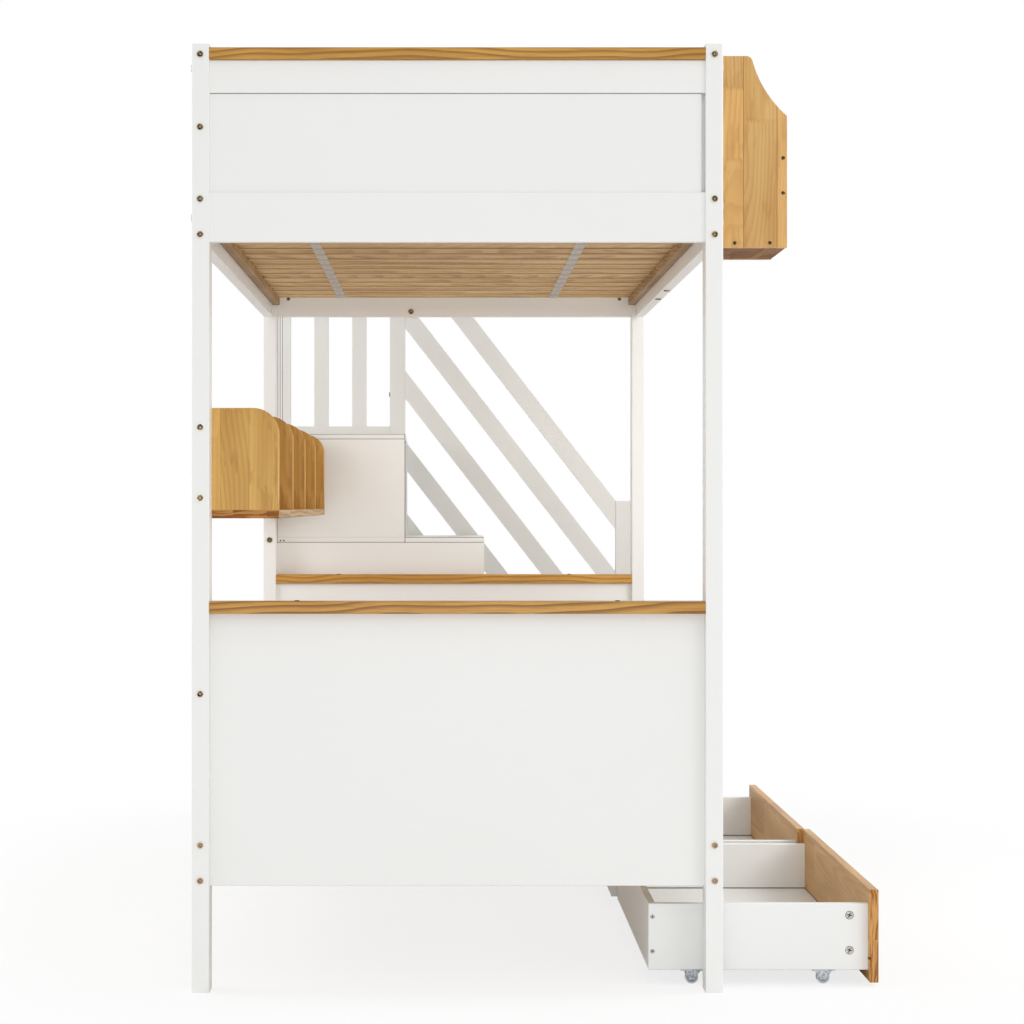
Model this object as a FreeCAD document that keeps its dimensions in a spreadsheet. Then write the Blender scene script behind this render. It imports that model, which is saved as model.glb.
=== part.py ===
import FreeCAD, Part
import os
import re
import Sketcher

# Bunk bed with storage stairs, two rolling drawers and two pine shelves. Millimetres.
# The layout below is measured from the middle of the near end: x across the bed towards the open
# side, y along it towards the stairs, z up from the floor. Each placement then moves the layout so
# that the origin is the middle of the whole footprint, on the floor, with the drawers pulled out.

SIZES = {
    # Outside of the bed frame and its posts.
    "bed_width": 1060,
    "bed_length": 1990,
    "bed_height": 1893,
    "post_width": 35,
    "post_depth": 60,
    "edge_round": 2,
    # Boards of the two ends. They stand back from the outer faces of the posts, the rails of the
    # upper near end least.
    "end_setback": 28,
    "upper_setback": 8,
    "end_thickness": 20,
    "rail_height": 100,
    "cap_height": 24,
    "cap_drop": 7,
    "top_rail_height": 66,
    "panel_thickness": 10,
    "groove_depth": 8,
    "groove_play": 0.3,
    "panel_end_gap": 7,
    "upper_rail_drop": 295,
    "lower_rail_bottom": 209,
    "lower_end_top": 780,
    "stile_width": 35,
    # Rails along the bed, and what carries the mattresses.
    "rail_thickness": 25,
    "top_guard_height": 42,
    "guard_rail_height": 60,
    "guard_gap": 94,
    "lower_guard_bottom": 566,
    "guard_stile_width": 45,
    "guard_stile_first": 1080,
    "guard_stile_pitch": 244,
    "ledger_size": 20,
    "ledger_rise": 32,
    "slat_count": 16,
    "slat_width": 70,
    "slat_thickness": 16,
    "slat_end_gap": 1,
    "slat_first_gap": 2,
    "tape_width": 24,
    "tape_thickness": 1,
    "tape_wall_side": 311,
    "tape_open_side": 275,
    # Bolts with barrel nuts.
    "bolt_diameter": 6,
    "bolt_head_diameter": 15,
    "bolt_head_height": 2.5,
    "bolt_socket": 4.6,
    "bolt_socket_depth": 1.8,
    "bolt_play": 0.3,
    "bolt_tip": 6.5,
    "nut_reach": 33.5,
    "nut_diameter": 10,
    "nut_length": 16,
    "nut_play": 0.2,
    "rail_bolt_edge": 14.5,
    "top_rail_bolt_drop": 15,
    "stile_bolt_rise": 15,
    "twin_bolt_high": 23,
    "twin_bolt_low": 11,
    "panel_bolt_rise": 62,
    "stair_bolt_rise": 136,
    # Wall shelf of the lower bunk.
    "wall_shelf_bottom": 946,
    "wall_shelf_height": 223,
    "wall_shelf_reach": 170,
    "wall_shelf_board": 17,
    "wall_shelf_bolt_edge": 41,
    "divider_count": 5,
    "divider_thickness": 15,
    "divider_round": 52,
    # Outer shelf of the upper bunk.
    "outer_shelf_start": 70,
    "outer_shelf_length": 255,
    "outer_shelf_reach": 137,
    "outer_shelf_drop": 4,
    "outer_shelf_height": 387,
    "outer_shelf_board": 18,
    "shelf_curve_radius": 229,
    "shelf_curve_out": 151,
    "shelf_curve_up": 51,
    "shelf_corner_round": 13,
    "lip_thickness": 15,
    "lip_height": 110,
    "lip_rise": 91,
    "shelf_back_thickness": 12,
    # Drawers on casters.
    "near_drawer_out": 321,
    "far_drawer_out": 309,
    "drawer_gap": 4,
    "front_thickness": 18,
    "front_floor_gap": 8,
    "front_top_gap": 13,
    "box_setback": 20,
    "box_depth": 445,
    "box_top_gap": 31,
    "box_board": 15,
    "bottom_thickness": 6,
    "bottom_rise": 23,
    "bottom_groove": 5,
    "batten_width": 50,
    "caster_inset": 89,
    "caster_plate": 2,
    "plate_length": 47,
    "plate_width": 38,
    "fork_thickness": 1.5,
    "fork_foot": 5,
    "wheel_diameter": 26.5,
    "wheel_width": 13,
    "wheel_side_play": 0.8,
    "wheel_top_play": 1.5,
    "axle_diameter": 5,
    "axle_play": 0.05,
    # Stairs across the far end.
    "base_board": 14,
    "platform_drop": 324,
    "stair_run": 222,
    "stair_front_inset": 1,
    "stair_depth": 420,
    "stair_board": 15,
    # Railing on the outer side of the stairs.
    "railing_thickness": 22,
    "railing_post_width": 46,
    "mid_post_inset": 6,
    "newel_rise": 682,
    "railing_rail_height": 34,
    "railing_slat_count": 2,
    "railing_slat_width": 43,
    "railing_slat_thickness": 15,
    "diagonal_count": 5,
    "diagonal_width": 83,
    "diagonal_floor_gap": 63,
    "diagonal_thickness": 18,
    "diagonal_drop": 99,
}

doc = FreeCAD.newDocument("bunk_bed")
sheet = doc.addObject("Spreadsheet::Sheet", "Sizes")
for row, (alias, size) in enumerate(SIZES.items(), start=1):
    sheet.set(f"A{row}", alias)
    sheet.set(f"B{row}", str(size))
    sheet.setAlias(f"B{row}", alias)
doc.recompute()

# Places that several pieces share, worked out from the sizes.
HALF = "(bed_width / 2)"
INNER_HALF = "(bed_width / 2 - post_width)"
LEFT_POST = "(post_width - bed_width / 2)"
RAIL_INNER = "(bed_width / 2 - rail_thickness)"
INNER_WIDTH = "(bed_width - 2 * post_width)"
RAIL_LENGTH = "(bed_length - 2 * post_depth)"
FAR_POST = "(bed_length - post_depth)"
FAR_BOARD = "(bed_length - end_setback - end_thickness)"
FAR_PANEL = "(bed_length - end_setback - end_thickness / 2 - panel_thickness / 2)"
NEAR_PANEL = "(upper_setback + end_thickness / 2 - panel_thickness / 2)"
UPPER_RAIL_TOP = "(bed_height - upper_rail_drop)"
UPPER_RAIL_BOTTOM = "(bed_height - upper_rail_drop - rail_height)"
RAIL_BOTTOMS = {"upper": UPPER_RAIL_BOTTOM, "lower": "lower_rail_bottom"}
UPPER_CAP_BOTTOM = "(bed_height - cap_drop - cap_height)"
TOP_RAIL_BOTTOM = "(bed_height - cap_drop - cap_height - top_rail_height)"
LOWER_CAP_BOTTOM = "(lower_end_top - cap_height)"
TOP_GUARD_BOTTOM = "(bed_height - top_guard_height)"
MIDDLE_GUARD_BOTTOM = "(bed_height - top_guard_height - guard_gap - guard_rail_height)"
LEVELS = 4
STAIR_FRONTS = [f"(bed_width / 2 - stair_front_inset - {level} * stair_run)" for level in range(LEVELS)]
PLATFORM_EDGE = STAIR_FRONTS[-1]
STAIR_RISE = f"(({UPPER_RAIL_BOTTOM} - platform_drop - base_board) / {LEVELS})"
TREAD_TOPS = [f"(base_board + {level + 1} * {STAIR_RISE})" for level in range(LEVELS)]
NEWEL_TOP = f"({TREAD_TOPS[0]} + newel_rise)"
RAILING_FACE = "(bed_length + stair_depth)"
MIDDLE_X = "((near_drawer_out - bolt_head_height) / 2)"
MIDDLE_Y = "((bed_length + stair_depth + railing_thickness - bolt_head_height) / 2)"

UP = FreeCAD.Vector(0, 0, 1)
HEADINGS = {
    "+x": FreeCAD.Vector(1, 0, 0),
    "-x": FreeCAD.Vector(-1, 0, 0),
    "+y": FreeCAD.Vector(0, 1, 0),
    "-y": FreeCAD.Vector(0, -1, 0),
    "+z": UP,
}
nodes = []


def tied(text):
    """Return an expression whose named sizes point at their cells of the sheet."""
    return re.sub(r"\b[a-z_]+\b", lambda found: f"Sizes.{found[0]}" if found[0] in SIZES else found[0], text)


def number(text):
    """Return what an expression on the sizes comes to."""
    return float(sheet.evalExpression(tied(text)))


def shifted(text, sign, distance):
    """Return an expression moved by a distance one way or the other."""
    return f"{text} {sign} ({distance})"


# ---- Small makers that every piece below uses ----

def placed(item, x, y, z, turn=None):
    """Put an item at a point of the layout."""
    if turn:
        item.Placement = FreeCAD.Placement(FreeCAD.Vector(), turn)
    item.setExpression("Placement.Base.x", tied(f"{x} - {MIDDLE_X}"))
    item.setExpression("Placement.Base.y", tied(f"{y} - {MIDDLE_Y}"))
    item.setExpression("Placement.Base.z", tied(z))
    return item


def block(name, length, width, height):
    """A plain block at its own origin."""
    item = doc.addObject("Part::Box", name)
    item.setExpression("Length", tied(length))
    item.setExpression("Width", tied(width))
    item.setExpression("Height", tied(height))
    return item


def rod(name, radius, length):
    """A plain cylinder that stands on its own origin."""
    item = doc.addObject("Part::Cylinder", name)
    item.setExpression("Radius", tied(radius))
    item.setExpression("Height", tied(length))
    return item


def rounded(name, blank, along, radius="edge_round"):
    """A blank whose edges along one axis are rounded."""
    blank.recompute()
    reach = number(radius)
    edges = []
    for place, edge in enumerate(blank.Shape.Edges, start=1):
        if abs(edge.tangentAt(edge.FirstParameter).dot(HEADINGS[along])) > 0.999:
            edges.append((place, reach, reach))
    fillet = doc.addObject("Part::Fillet", name)
    fillet.Base = blank
    fillet.Edges = edges
    return fillet


def board(name, x, y, z, length, width, height, along):
    """A sawn board in its place, with its long edges rounded."""
    return rounded(name, placed(block(f"{name}_blank", length, width, height), x, y, z), along)


def group(name, items):
    """Several solids that share one node."""
    item = doc.addObject("Part::Compound", name)
    item.Links = items
    return item


def cut(name, blank, tools):
    """A blank with tools taken out of it."""
    item = doc.addObject("Part::Cut", name)
    item.Base = blank
    item.Tool = group(f"{name}_tools", tools) if len(tools) > 1 else tools[0]
    return item


def copy(name, original, x, y, z, turn=None):
    """A copy of a piece that was made at its own origin."""
    link = doc.addObject("App::Link", name)
    link.LinkedObject = original
    return placed(link, x, y, z, turn)


def node(label, item):
    """Give a finished sub-part its label, which also names its file."""
    item.Label = label
    nodes.append(item)
    return item


def outline(body, name, corners):
    """A closed outline on a body's XZ plane through corners given as expressions, none negative."""
    plane = next(feature for feature in body.Origin.OriginFeatures if feature.Role == "XZ_Plane")
    sketch = body.newObject("Sketcher::SketchObject", name)
    sketch.AttachmentSupport = [(plane, "")]
    sketch.MapMode = "FlatFace"
    points = [FreeCAD.Vector(number(x), number(z), 0) for x, z in corners]
    for start, end in zip(points, points[1:] + points[:1]):
        sketch.addGeometry(Part.LineSegment(start, end), False)
    for side in range(len(points)):
        sketch.addConstraint(Sketcher.Constraint("Coincident", side, 2, (side + 1) % len(points), 1))
    for side, corner in enumerate(corners):
        for kind, text, axis in (("DistanceX", corner[0], -2), ("DistanceY", corner[1], -1)):
            if text == "0":
                sketch.addConstraint(Sketcher.Constraint("PointOnObject", side, 1, axis))
                continue
            place = sketch.addConstraint(Sketcher.Constraint(kind, -1, 1, side, 1, number(text)))
            sketch.setExpression(f"Constraints[{place}]", tied(text))
    return sketch


def pad(body, name, corners, thickness, start="0"):
    """Raise an outline of the XZ plane along +Y, from start on."""
    sketch = outline(body, f"{name}_outline", corners)
    sketch.setExpression("AttachmentOffset.Base.z", tied(f"-({start})"))
    feature = body.newObject("PartDesign::Pad", name)
    feature.Profile = sketch
    feature.Reversed = True
    feature.setExpression("Length", tied(thickness))
    return feature


def turned(body, name, corners):
    """Turn an outline of the XZ plane about the vertical axis."""
    sketch = outline(body, f"{name}_outline", corners)
    feature = body.newObject("PartDesign::Revolution", name)
    feature.Profile = sketch
    feature.ReferenceAxis = (sketch, ["V_Axis"])
    feature.Angle = 360
    return feature


# ---- Bolts, barrel nuts and the holes that they need ----
# A bolt's head bears on a face, its shank passes through the grip, and a barrel nut
# that lies across it in the far piece takes its thread.

bolts = []
nuts = []
bolt_patterns = {}


def bolt_pattern(grip, tip):
    """The bolt of one length, standing on its head: a turned body with a hexagon socket."""
    key = (grip, tip)
    if key not in bolt_patterns:
        place = len(bolt_patterns) + 1
        shank_end = f"bolt_head_height + {grip} + {tip}"
        body = doc.addObject("PartDesign::Body", f"bolt_body_{place}")
        turned(body, f"bolt_turning_{place}", [
            ("0", "0"),
            ("bolt_head_diameter / 2", "0"),
            ("bolt_head_diameter / 2", "bolt_head_height"),
            ("bolt_diameter / 2", "bolt_head_height"),
            ("bolt_diameter / 2", shank_end),
            ("0", shank_end),
        ])
        socket = doc.addObject("Part::Prism", f"bolt_socket_{place}")
        socket.Polygon = 6
        socket.setExpression("Circumradius", tied("bolt_socket / 2"))
        socket.setExpression("Height", tied("bolt_socket_depth"))
        bolt_patterns[key] = cut(f"bolt_pattern_{place}", body, [socket])
    return bolt_patterns[key]


nut_blank = rod("nut_blank", "nut_diameter / 2", "nut_length")
nut_hole = rod("nut_hole", "bolt_diameter / 2 + bolt_play", "2 * nut_diameter")
nut_hole.Placement = FreeCAD.Placement(FreeCAD.Vector(), FreeCAD.Rotation(UP, HEADINGS["+x"]))
nut_hole.setExpression("Placement.Base.x", tied("-nut_diameter"))
nut_hole.setExpression("Placement.Base.z", tied("nut_length / 2"))
nut_pattern = cut("nut_pattern", nut_blank, [nut_hole])


def bolt(name, head, heading, grip, nut_heading=None, tip=None, sunk=False):
    """Set one bolt with its head's bearing face at a point, and return the tools that cut its holes."""
    sign, axis = heading
    spot = "xyz".index(axis)
    back = "-" if sign == "+" else "+"
    direction = HEADINGS[heading]
    turn = FreeCAD.Rotation(UP, direction)
    reach = tip if tip else "(nut_reach + bolt_tip)"

    def along(distance, way=sign):
        """The head's point moved along the bolt."""
        point = list(head)
        point[spot] = shifted(point[spot], way, distance)
        return point

    seat = along("bolt_head_height") if sunk else list(head)
    top = list(seat)
    top[spot] = shifted(top[spot], back, "bolt_head_height")
    grip_left = f"({grip} - bolt_head_height)" if sunk else grip
    bolts.append(copy(f"{name}_bolt", bolt_pattern(grip_left, reach), *top, turn))
    hole = rod(f"{name}_hole", "bolt_diameter / 2 + bolt_play", f"{grip} + {reach} + bolt_play")
    tools = {"hole": placed(hole, *head, turn)}
    if sunk:
        sink = rod(f"{name}_sink", "bolt_head_diameter / 2 + bolt_play", "bolt_head_height")
        tools["sink"] = placed(sink, *head, turn)
    if nut_heading:
        across = HEADINGS[nut_heading]
        nut_sign, nut_axis = nut_heading
        nut_turn = FreeCAD.Rotation(direction, across.cross(direction), across, "ZXY")
        start = along(f"{grip} + nut_reach")
        nut_spot = "xyz".index(nut_axis)
        nut_back = "-" if nut_sign == "+" else "+"
        start[nut_spot] = shifted(start[nut_spot], nut_back, "nut_length / 2")
        nuts.append(copy(f"{name}_nut", nut_pattern, *start, nut_turn))
        bore = rod(f"{name}_bore", "nut_diameter / 2 + nut_play", "nut_length + 2 * nut_play")
        start[nut_spot] = shifted(start[nut_spot], nut_back, "nut_play")
        tools["bore"] = placed(bore, *start, nut_turn)
    return tools


SIDES = {"left": "-", "right": ""}
OUTWARD = {"left": "-x", "right": "+x"}
INWARD = {"left": "+x", "right": "-x"}
BOLT_COLUMN = f"({RAIL_INNER} + nut_length / 2)"
ENDS = ("near", "far")


def end_bolt_line(end, kind):
    """How far along the bed the bolts into an end board run: through the middle of its nuts."""
    if end == "far":
        return "(bed_length - end_setback - end_thickness + nut_length / 2)"
    setback = "end_setback" if kind == "panel" else "upper_setback"
    return f"({setback} + end_thickness - nut_length / 2)"


END_INWARD = {"near": "-y", "far": "+y"}
UPPER_RAIL_MIDDLE = f"({UPPER_RAIL_BOTTOM} + rail_height / 2)"


def two_rows(bottom, height, edge):
    """The heights of two bolts, each as far from its edge of a board."""
    return [f"({bottom} + {edge})", f"({bottom} + {height} - {edge})"]


# Heights of the bolts that run along the bed into each kind of rail.
RAIL_BOLTS = {
    "upper_rail": two_rows(UPPER_RAIL_BOTTOM, "rail_height", "rail_bolt_edge"),
    "lower_rail": two_rows("lower_rail_bottom", "rail_height", "rail_bolt_edge"),
    "top_guard": [f"({TOP_GUARD_BOTTOM} + top_guard_height / 2)"],
    "middle_guard": [f"({MIDDLE_GUARD_BOTTOM} + guard_rail_height / 2)"],
    "lower_guard": ["(lower_guard_bottom + guard_rail_height / 2)"],
    "wall_shelf": two_rows("wall_shelf_bottom", "wall_shelf_height", "wall_shelf_bolt_edge"),
}
RAILS_OF_SIDE = {
    "left": ["upper_rail", "lower_rail", "top_guard", "middle_guard", "lower_guard", "wall_shelf"],
    "right": ["upper_rail", "lower_rail", "top_guard"],
}
# Heights of the bolts that run across the bed into each end board.
TOP_RAIL_BOLT = "(bed_height - cap_drop - cap_height - top_rail_bolt_drop)"
END_BOLTS = {
    ("near", "left"): {"top_rail": [TOP_RAIL_BOLT], "bottom_rail": [UPPER_RAIL_MIDDLE], "panel": []},
    ("near", "right"): {
        "top_rail": [TOP_RAIL_BOLT],
        "bottom_rail": [f"({UPPER_RAIL_MIDDLE} + twin_bolt_high)", f"({UPPER_RAIL_MIDDLE} - twin_bolt_low)"],
        "panel": ["(lower_rail_bottom + panel_bolt_rise)"],
    },
    ("far", "left"): {"top_rail": [], "bottom_rail": [UPPER_RAIL_MIDDLE], "panel": []},
    ("far", "right"): {
        "top_rail": [TOP_RAIL_BOLT],
        "bottom_rail": [UPPER_RAIL_MIDDLE],
        "panel": ["(lower_rail_bottom + panel_bolt_rise)"],
    },
}

rail_holes = {(side, rail): [] for side in SIDES for rail in RAIL_BOLTS}
end_holes = {(end, kind): [] for end in ENDS for kind in ("top_rail", "bottom_rail", "panel")}
post_holes = {(end, side): [] for end in ENDS for side in SIDES}

for end in ENDS:
    for side, minus in SIDES.items():
        corner = f"{end}_{side}"
        column = f"({minus}{BOLT_COLUMN})"
        start, heading = ("0", "+y") if end == "near" else ("bed_length", "-y")
        for rail in RAILS_OF_SIDE[side]:
            for place, height in enumerate(RAIL_BOLTS[rail]):
                tools = bolt(f"{corner}_{rail}_{place}", (column, start, height), heading, "post_depth",
                             nut_heading=OUTWARD[side], sunk=end == "far")
                post_holes[end, side] += [tools[key] for key in ("hole", "sink") if key in tools]
                rail_holes[side, rail] += [tools["hole"], tools["bore"]]
        for kind, heights in END_BOLTS[end, side].items():
            for place, height in enumerate(heights):
                head = (f"({minus}{HALF})", end_bolt_line(end, kind), height)
                tools = bolt(f"{corner}_{kind}_{place}", head, INWARD[side], "post_width",
                             nut_heading=END_INWARD[end])
                post_holes[end, side].append(tools["hole"])
                end_holes[end, kind] += [tools["hole"], tools["bore"]]

# Lag bolts that tie the stairs to the far posts: two at the wall, one at the open side.
stair_holes = {"shelf": [], "panel_2": [], "panel_1": []}
for spot, side, height in (
    ("shelf", "left", f"({TREAD_TOPS[2]} - stair_board / 2)"),
    ("panel_2", "left", f"({TREAD_TOPS[0]} + stair_bolt_rise)"),
    ("panel_1", "right", "(base_board + stair_bolt_rise)"),
):
    tools = bolt(f"stair_{spot}", (f"({SIDES[side]}{BOLT_COLUMN})", FAR_POST, height), "+y", "post_depth",
                 tip="(stair_board - edge_round)")
    post_holes["far", side].append(tools["hole"])
    stair_holes[spot].append(tools["hole"])


# ---- Posts ----

for end, front in (("near", "0"), ("far", FAR_POST)):
    for side, start in (("left", f"(-{HALF})"), ("right", INNER_HALF)):
        name = f"post_{end}_{side}"
        blank = board(f"{name}_round", start, front, "0", "post_width", "post_depth", "bed_height", "+z")
        node(name, cut(name, blank, post_holes[end, side]))


# ---- Upper near end: cap, top rail, loose panel in grooves, bottom rail ----

def end_board(name, end, start, bottom, length, height, near_setback="upper_setback"):
    """A board of one end, between its front plane and its thickness."""
    front = near_setback if end == "near" else FAR_BOARD
    return board(name, start, front, bottom, length, "end_thickness", height, "+x")


def cap(name, end, start, bottom, length):
    """A pine cap as deep as the posts."""
    front = "0" if end == "near" else FAR_POST
    return board(name, start, front, bottom, length, "post_depth", "cap_height", "+x")


def groove(name, front, start, bottom, length, height):
    """The tool for a groove that holds a thin panel's edge."""
    tool = block(name, length, "panel_thickness + groove_play", height)
    return placed(tool, start, f"{front} - groove_play / 2", bottom)


def framed_end(end, start, length, panel_start, panel_length, front):
    """Top rail, thin panel and bottom rail of an upper end. The panel runs in grooves of both rails."""
    grooves = [
        groove(f"{end}_low_groove", front, start, f"{UPPER_RAIL_TOP} - groove_depth", length, "groove_depth"),
        groove(f"{end}_high_groove", front, start, TOP_RAIL_BOTTOM, length, "groove_depth"),
    ]
    top = end_board(f"{end}_top_blank", end, start, TOP_RAIL_BOTTOM, length, "top_rail_height")
    node(f"upper_{end}_top_rail", cut(f"{end}_top", top, [grooves[1]] + end_holes[end, "top_rail"]))
    height = f"{TOP_RAIL_BOTTOM} - {UPPER_RAIL_TOP} + 2 * groove_depth - groove_play"
    panel = block(f"{end}_panel", panel_length, "panel_thickness", height)
    node(f"upper_{end}_panel", placed(panel, panel_start, front, f"{UPPER_RAIL_TOP} - groove_depth"))
    return grooves[0]


def bottom_rail(end, low_groove):
    """The bottom rail of an upper end, which fills the whole width between the posts."""
    blank = end_board(f"{end}_bottom_blank", end, LEFT_POST, UPPER_RAIL_BOTTOM, INNER_WIDTH, "rail_height")
    tools = [low_groove] + end_holes[end, "bottom_rail"]
    node(f"upper_{end}_bottom_rail", cut(f"{end}_bottom", blank, tools))


node("upper_near_cap", cap("near_cap", "near", LEFT_POST, UPPER_CAP_BOTTOM, INNER_WIDTH))
near_panel_length = f"{INNER_WIDTH} - panel_end_gap"
bottom_rail("near", framed_end("near", LEFT_POST, INNER_WIDTH, LEFT_POST, near_panel_length, NEAR_PANEL))


# ---- Upper far end: the same beside the stair entry, hung on a stile behind its rails ----

guard_width = f"({INNER_HALF} - {PLATFORM_EDGE})"
node("upper_far_cap", cap("far_cap", "far", PLATFORM_EDGE, UPPER_CAP_BOTTOM, guard_width))
stile_middle = f"({PLATFORM_EDGE} + stile_width / 2)"
stile_tools = {}
for rail, height in (("bottom_rail", f"({UPPER_RAIL_BOTTOM} + stile_bolt_rise)"),
                     ("top_rail", f"({TOP_RAIL_BOTTOM} + top_rail_height / 2)")):
    tools = bolt(f"stile_{rail}", (stile_middle, FAR_BOARD, height), "+y", "end_thickness",
                 tip="(end_setback - edge_round)")
    stile_tools[rail] = tools["hole"]
    end_holes["far", rail].append(tools["hole"])
bottom_rail("far", framed_end("far", PLATFORM_EDGE, guard_width, PLATFORM_EDGE, guard_width, FAR_PANEL))
far_stile = board("far_stile_blank", PLATFORM_EDGE, "(bed_length - end_setback)", UPPER_RAIL_BOTTOM,
                  "stile_width", "end_setback", f"{UPPER_CAP_BOTTOM} - {UPPER_RAIL_BOTTOM}", "+z")
far_stile = cut("far_stile", far_stile, list(stile_tools.values()))


# ---- Lower ends: one flat panel under a pine cap ----

caps = []
panels = []
for end in ENDS:
    caps.append(cap(f"lower_{end}_cap", end, LEFT_POST, LOWER_CAP_BOTTOM, INNER_WIDTH))
    blank = end_board(f"lower_{end}_panel_blank", end, LEFT_POST, "lower_rail_bottom", INNER_WIDTH,
                      f"{LOWER_CAP_BOTTOM} - lower_rail_bottom", "end_setback")
    panels.append(cut(f"lower_{end}_panel", blank, end_holes[end, "panel"]))
node("lower_end_caps", group("lower_caps", caps))
node("lower_end_panels", group("lower_panels", panels))


# ---- Rails along the bed ----

def side_rail(name, side, bottom, height, kind, start="post_depth", length=RAIL_LENGTH, extra=()):
    """A rail flush with the posts' outer faces, drilled for its bolts."""
    across = f"(-{HALF})" if side == "left" else RAIL_INNER
    blank = board(f"{name}_blank", across, start, bottom, "rail_thickness", length, height, "+y")
    holes = (rail_holes[side, kind] if kind else []) + list(extra)
    return cut(name, blank, holes) if holes else blank


# The open side's guard has two stiles, each held by a long bolt from under the rail.
STILE_STARTS = ["guard_stile_first", "(guard_stile_first + guard_stile_pitch)"]
rail_centre = f"({HALF} - rail_thickness / 2)"
stiles = [far_stile]
under_holes = []
for place, start in enumerate(STILE_STARTS):
    head = (rail_centre, f"({start} + guard_stile_width / 2)", UPPER_RAIL_BOTTOM)
    tools = bolt(f"guard_stile_{place}", head, "+z", "rail_height", nut_heading="+x")
    under_holes.append(tools["hole"])
    blank = board(f"guard_stile_{place}_blank", RAIL_INNER, start, UPPER_RAIL_TOP, "rail_thickness",
                  "guard_stile_width", f"{TOP_GUARD_BOTTOM} - {UPPER_RAIL_TOP}", "+z")
    stiles.append(cut(f"guard_stile_{place}", blank, [tools["hole"], tools["bore"]]))
node("guard_stiles", group("stiles", stiles))

node("upper_side_rails", group("upper_rails", [
    side_rail(f"upper_{side}_rail", side, UPPER_RAIL_BOTTOM, "rail_height", "upper_rail", extra=holes)
    for side, holes in (("left", []), ("right", under_holes))
]))
node("lower_side_rails", group("lower_rails", [
    side_rail(f"lower_{side}_rail", side, "lower_rail_bottom", "rail_height", "lower_rail") for side in SIDES
]))
node("top_guard_rails", group("top_guards", [
    side_rail(f"top_{side}_guard", side, TOP_GUARD_BOTTOM, "top_guard_height", "top_guard") for side in SIDES
]))
stops = ["post_depth"] + [f"({start} + guard_stile_width)" for start in STILE_STARTS]
middle_guards = [
    side_rail("middle_left_guard", "left", MIDDLE_GUARD_BOTTOM, "guard_rail_height", "middle_guard"),
]
for place, (start, end) in enumerate(zip(stops, STILE_STARTS + [FAR_POST])):
    middle_guards.append(side_rail(f"middle_right_guard_{place}", "right", MIDDLE_GUARD_BOTTOM,
                                   "guard_rail_height", None, start, f"{end} - {start}"))
node("middle_guard_rails", group("middle_guards", middle_guards))
lower_guard = side_rail("lower_guard", "left", "lower_guard_bottom", "guard_rail_height", "lower_guard")
node("lower_guard_rail", lower_guard)


# ---- Ledgers, slats and the tapes that keep the slats apart ----

ledgers = []
slats = []
tapes = []
slat_length = f"2 * {RAIL_INNER} - 2 * slat_end_gap"
slat_pattern = rounded("slat_pattern", block("slat_blank", slat_length, "slat_width", "slat_thickness"), "+x")
slat_start = f"(slat_end_gap - {RAIL_INNER})"
slat_span = f"({RAIL_LENGTH} - slat_width - 2 * slat_first_gap)"
tape_length = f"{RAIL_LENGTH} - 2 * slat_first_gap"
TAPE_STARTS = {"wall": "(-tape_wall_side - tape_width / 2)", "open": "(tape_open_side - tape_width / 2)"}
for level, rail_bottom in RAIL_BOTTOMS.items():
    ledger_bottom = f"({rail_bottom} + ledger_rise)"
    slat_bottom = f"({ledger_bottom} + ledger_size)"
    for side, start in (("left", f"(-{RAIL_INNER})"), ("right", f"({RAIL_INNER} - ledger_size)")):
        ledgers.append(board(f"{level}_{side}_ledger", start, "post_depth", ledger_bottom, "ledger_size",
                             RAIL_LENGTH, "ledger_size", "+y"))
    for place in range(SIZES["slat_count"]):
        along = f"(post_depth + slat_first_gap + {slat_span} * {place} / (slat_count - 1))"
        slats.append(copy(f"{level}_slat_{place}", slat_pattern, slat_start, along, slat_bottom))
    tape_bottom = f"({slat_bottom} - tape_thickness)"
    for side, start in TAPE_STARTS.items():
        tape = block(f"{level}_{side}_tape", "tape_width", tape_length, "tape_thickness")
        tapes.append(placed(tape, start, "(post_depth + slat_first_gap)", tape_bottom))
node("slat_ledgers", group("ledgers", ledgers))
node("bed_slats", group("slats", slats))
node("slat_tapes", group("tapes", tapes))


# ---- Wall shelf of the lower bunk ----

def corner_tool(name, length, radius):
    """The tool that rounds one corner: a square bar less a cylinder about one of its edges."""
    bar = block(f"{name}_bar", radius, length, radius)
    core = rod(f"{name}_core", radius, length)
    core.Placement = FreeCAD.Placement(FreeCAD.Vector(), FreeCAD.Rotation(UP, HEADINGS["+y"]))
    return cut(name, bar, [core])


shelf_inner = f"({HALF} - wall_shelf_reach)"
shelf_rear = side_rail("shelf_back", "left", "wall_shelf_bottom", "wall_shelf_height", "wall_shelf")
node("wall_shelf_back", shelf_rear)
node("wall_shelf_bottom", board("shelf_bottom", f"(-{RAIL_INNER})", "post_depth", "wall_shelf_bottom",
                                f"{RAIL_INNER} - {shelf_inner}", RAIL_LENGTH, "wall_shelf_board", "+y"))
divider_height = "wall_shelf_height - wall_shelf_board"
divider_reach = f"{RAIL_INNER} - {shelf_inner}"
corner = corner_tool("divider_corner", "divider_thickness", "divider_round")
corner.setExpression("Placement.Base.x", tied(f"{divider_reach} - divider_round"))
corner.setExpression("Placement.Base.z", tied(f"{divider_height} - divider_round"))
divider_blank = block("divider_blank", divider_reach, "divider_thickness", divider_height)
divider_pattern = cut("divider_pattern", divider_blank, [corner])
dividers = []
for place in range(SIZES["divider_count"]):
    along = f"(post_depth + ({RAIL_LENGTH} - divider_thickness) * {place} / (divider_count - 1))"
    dividers.append(copy(f"divider_{place}", divider_pattern, f"(-{RAIL_INNER})", along,
                         "(wall_shelf_bottom + wall_shelf_board)"))
node("wall_shelf_dividers", group("dividers", dividers))


# ---- Outer shelf of the upper bunk ----
# Each side is a board whose top outer corner is hollowed by a large curve.

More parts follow.
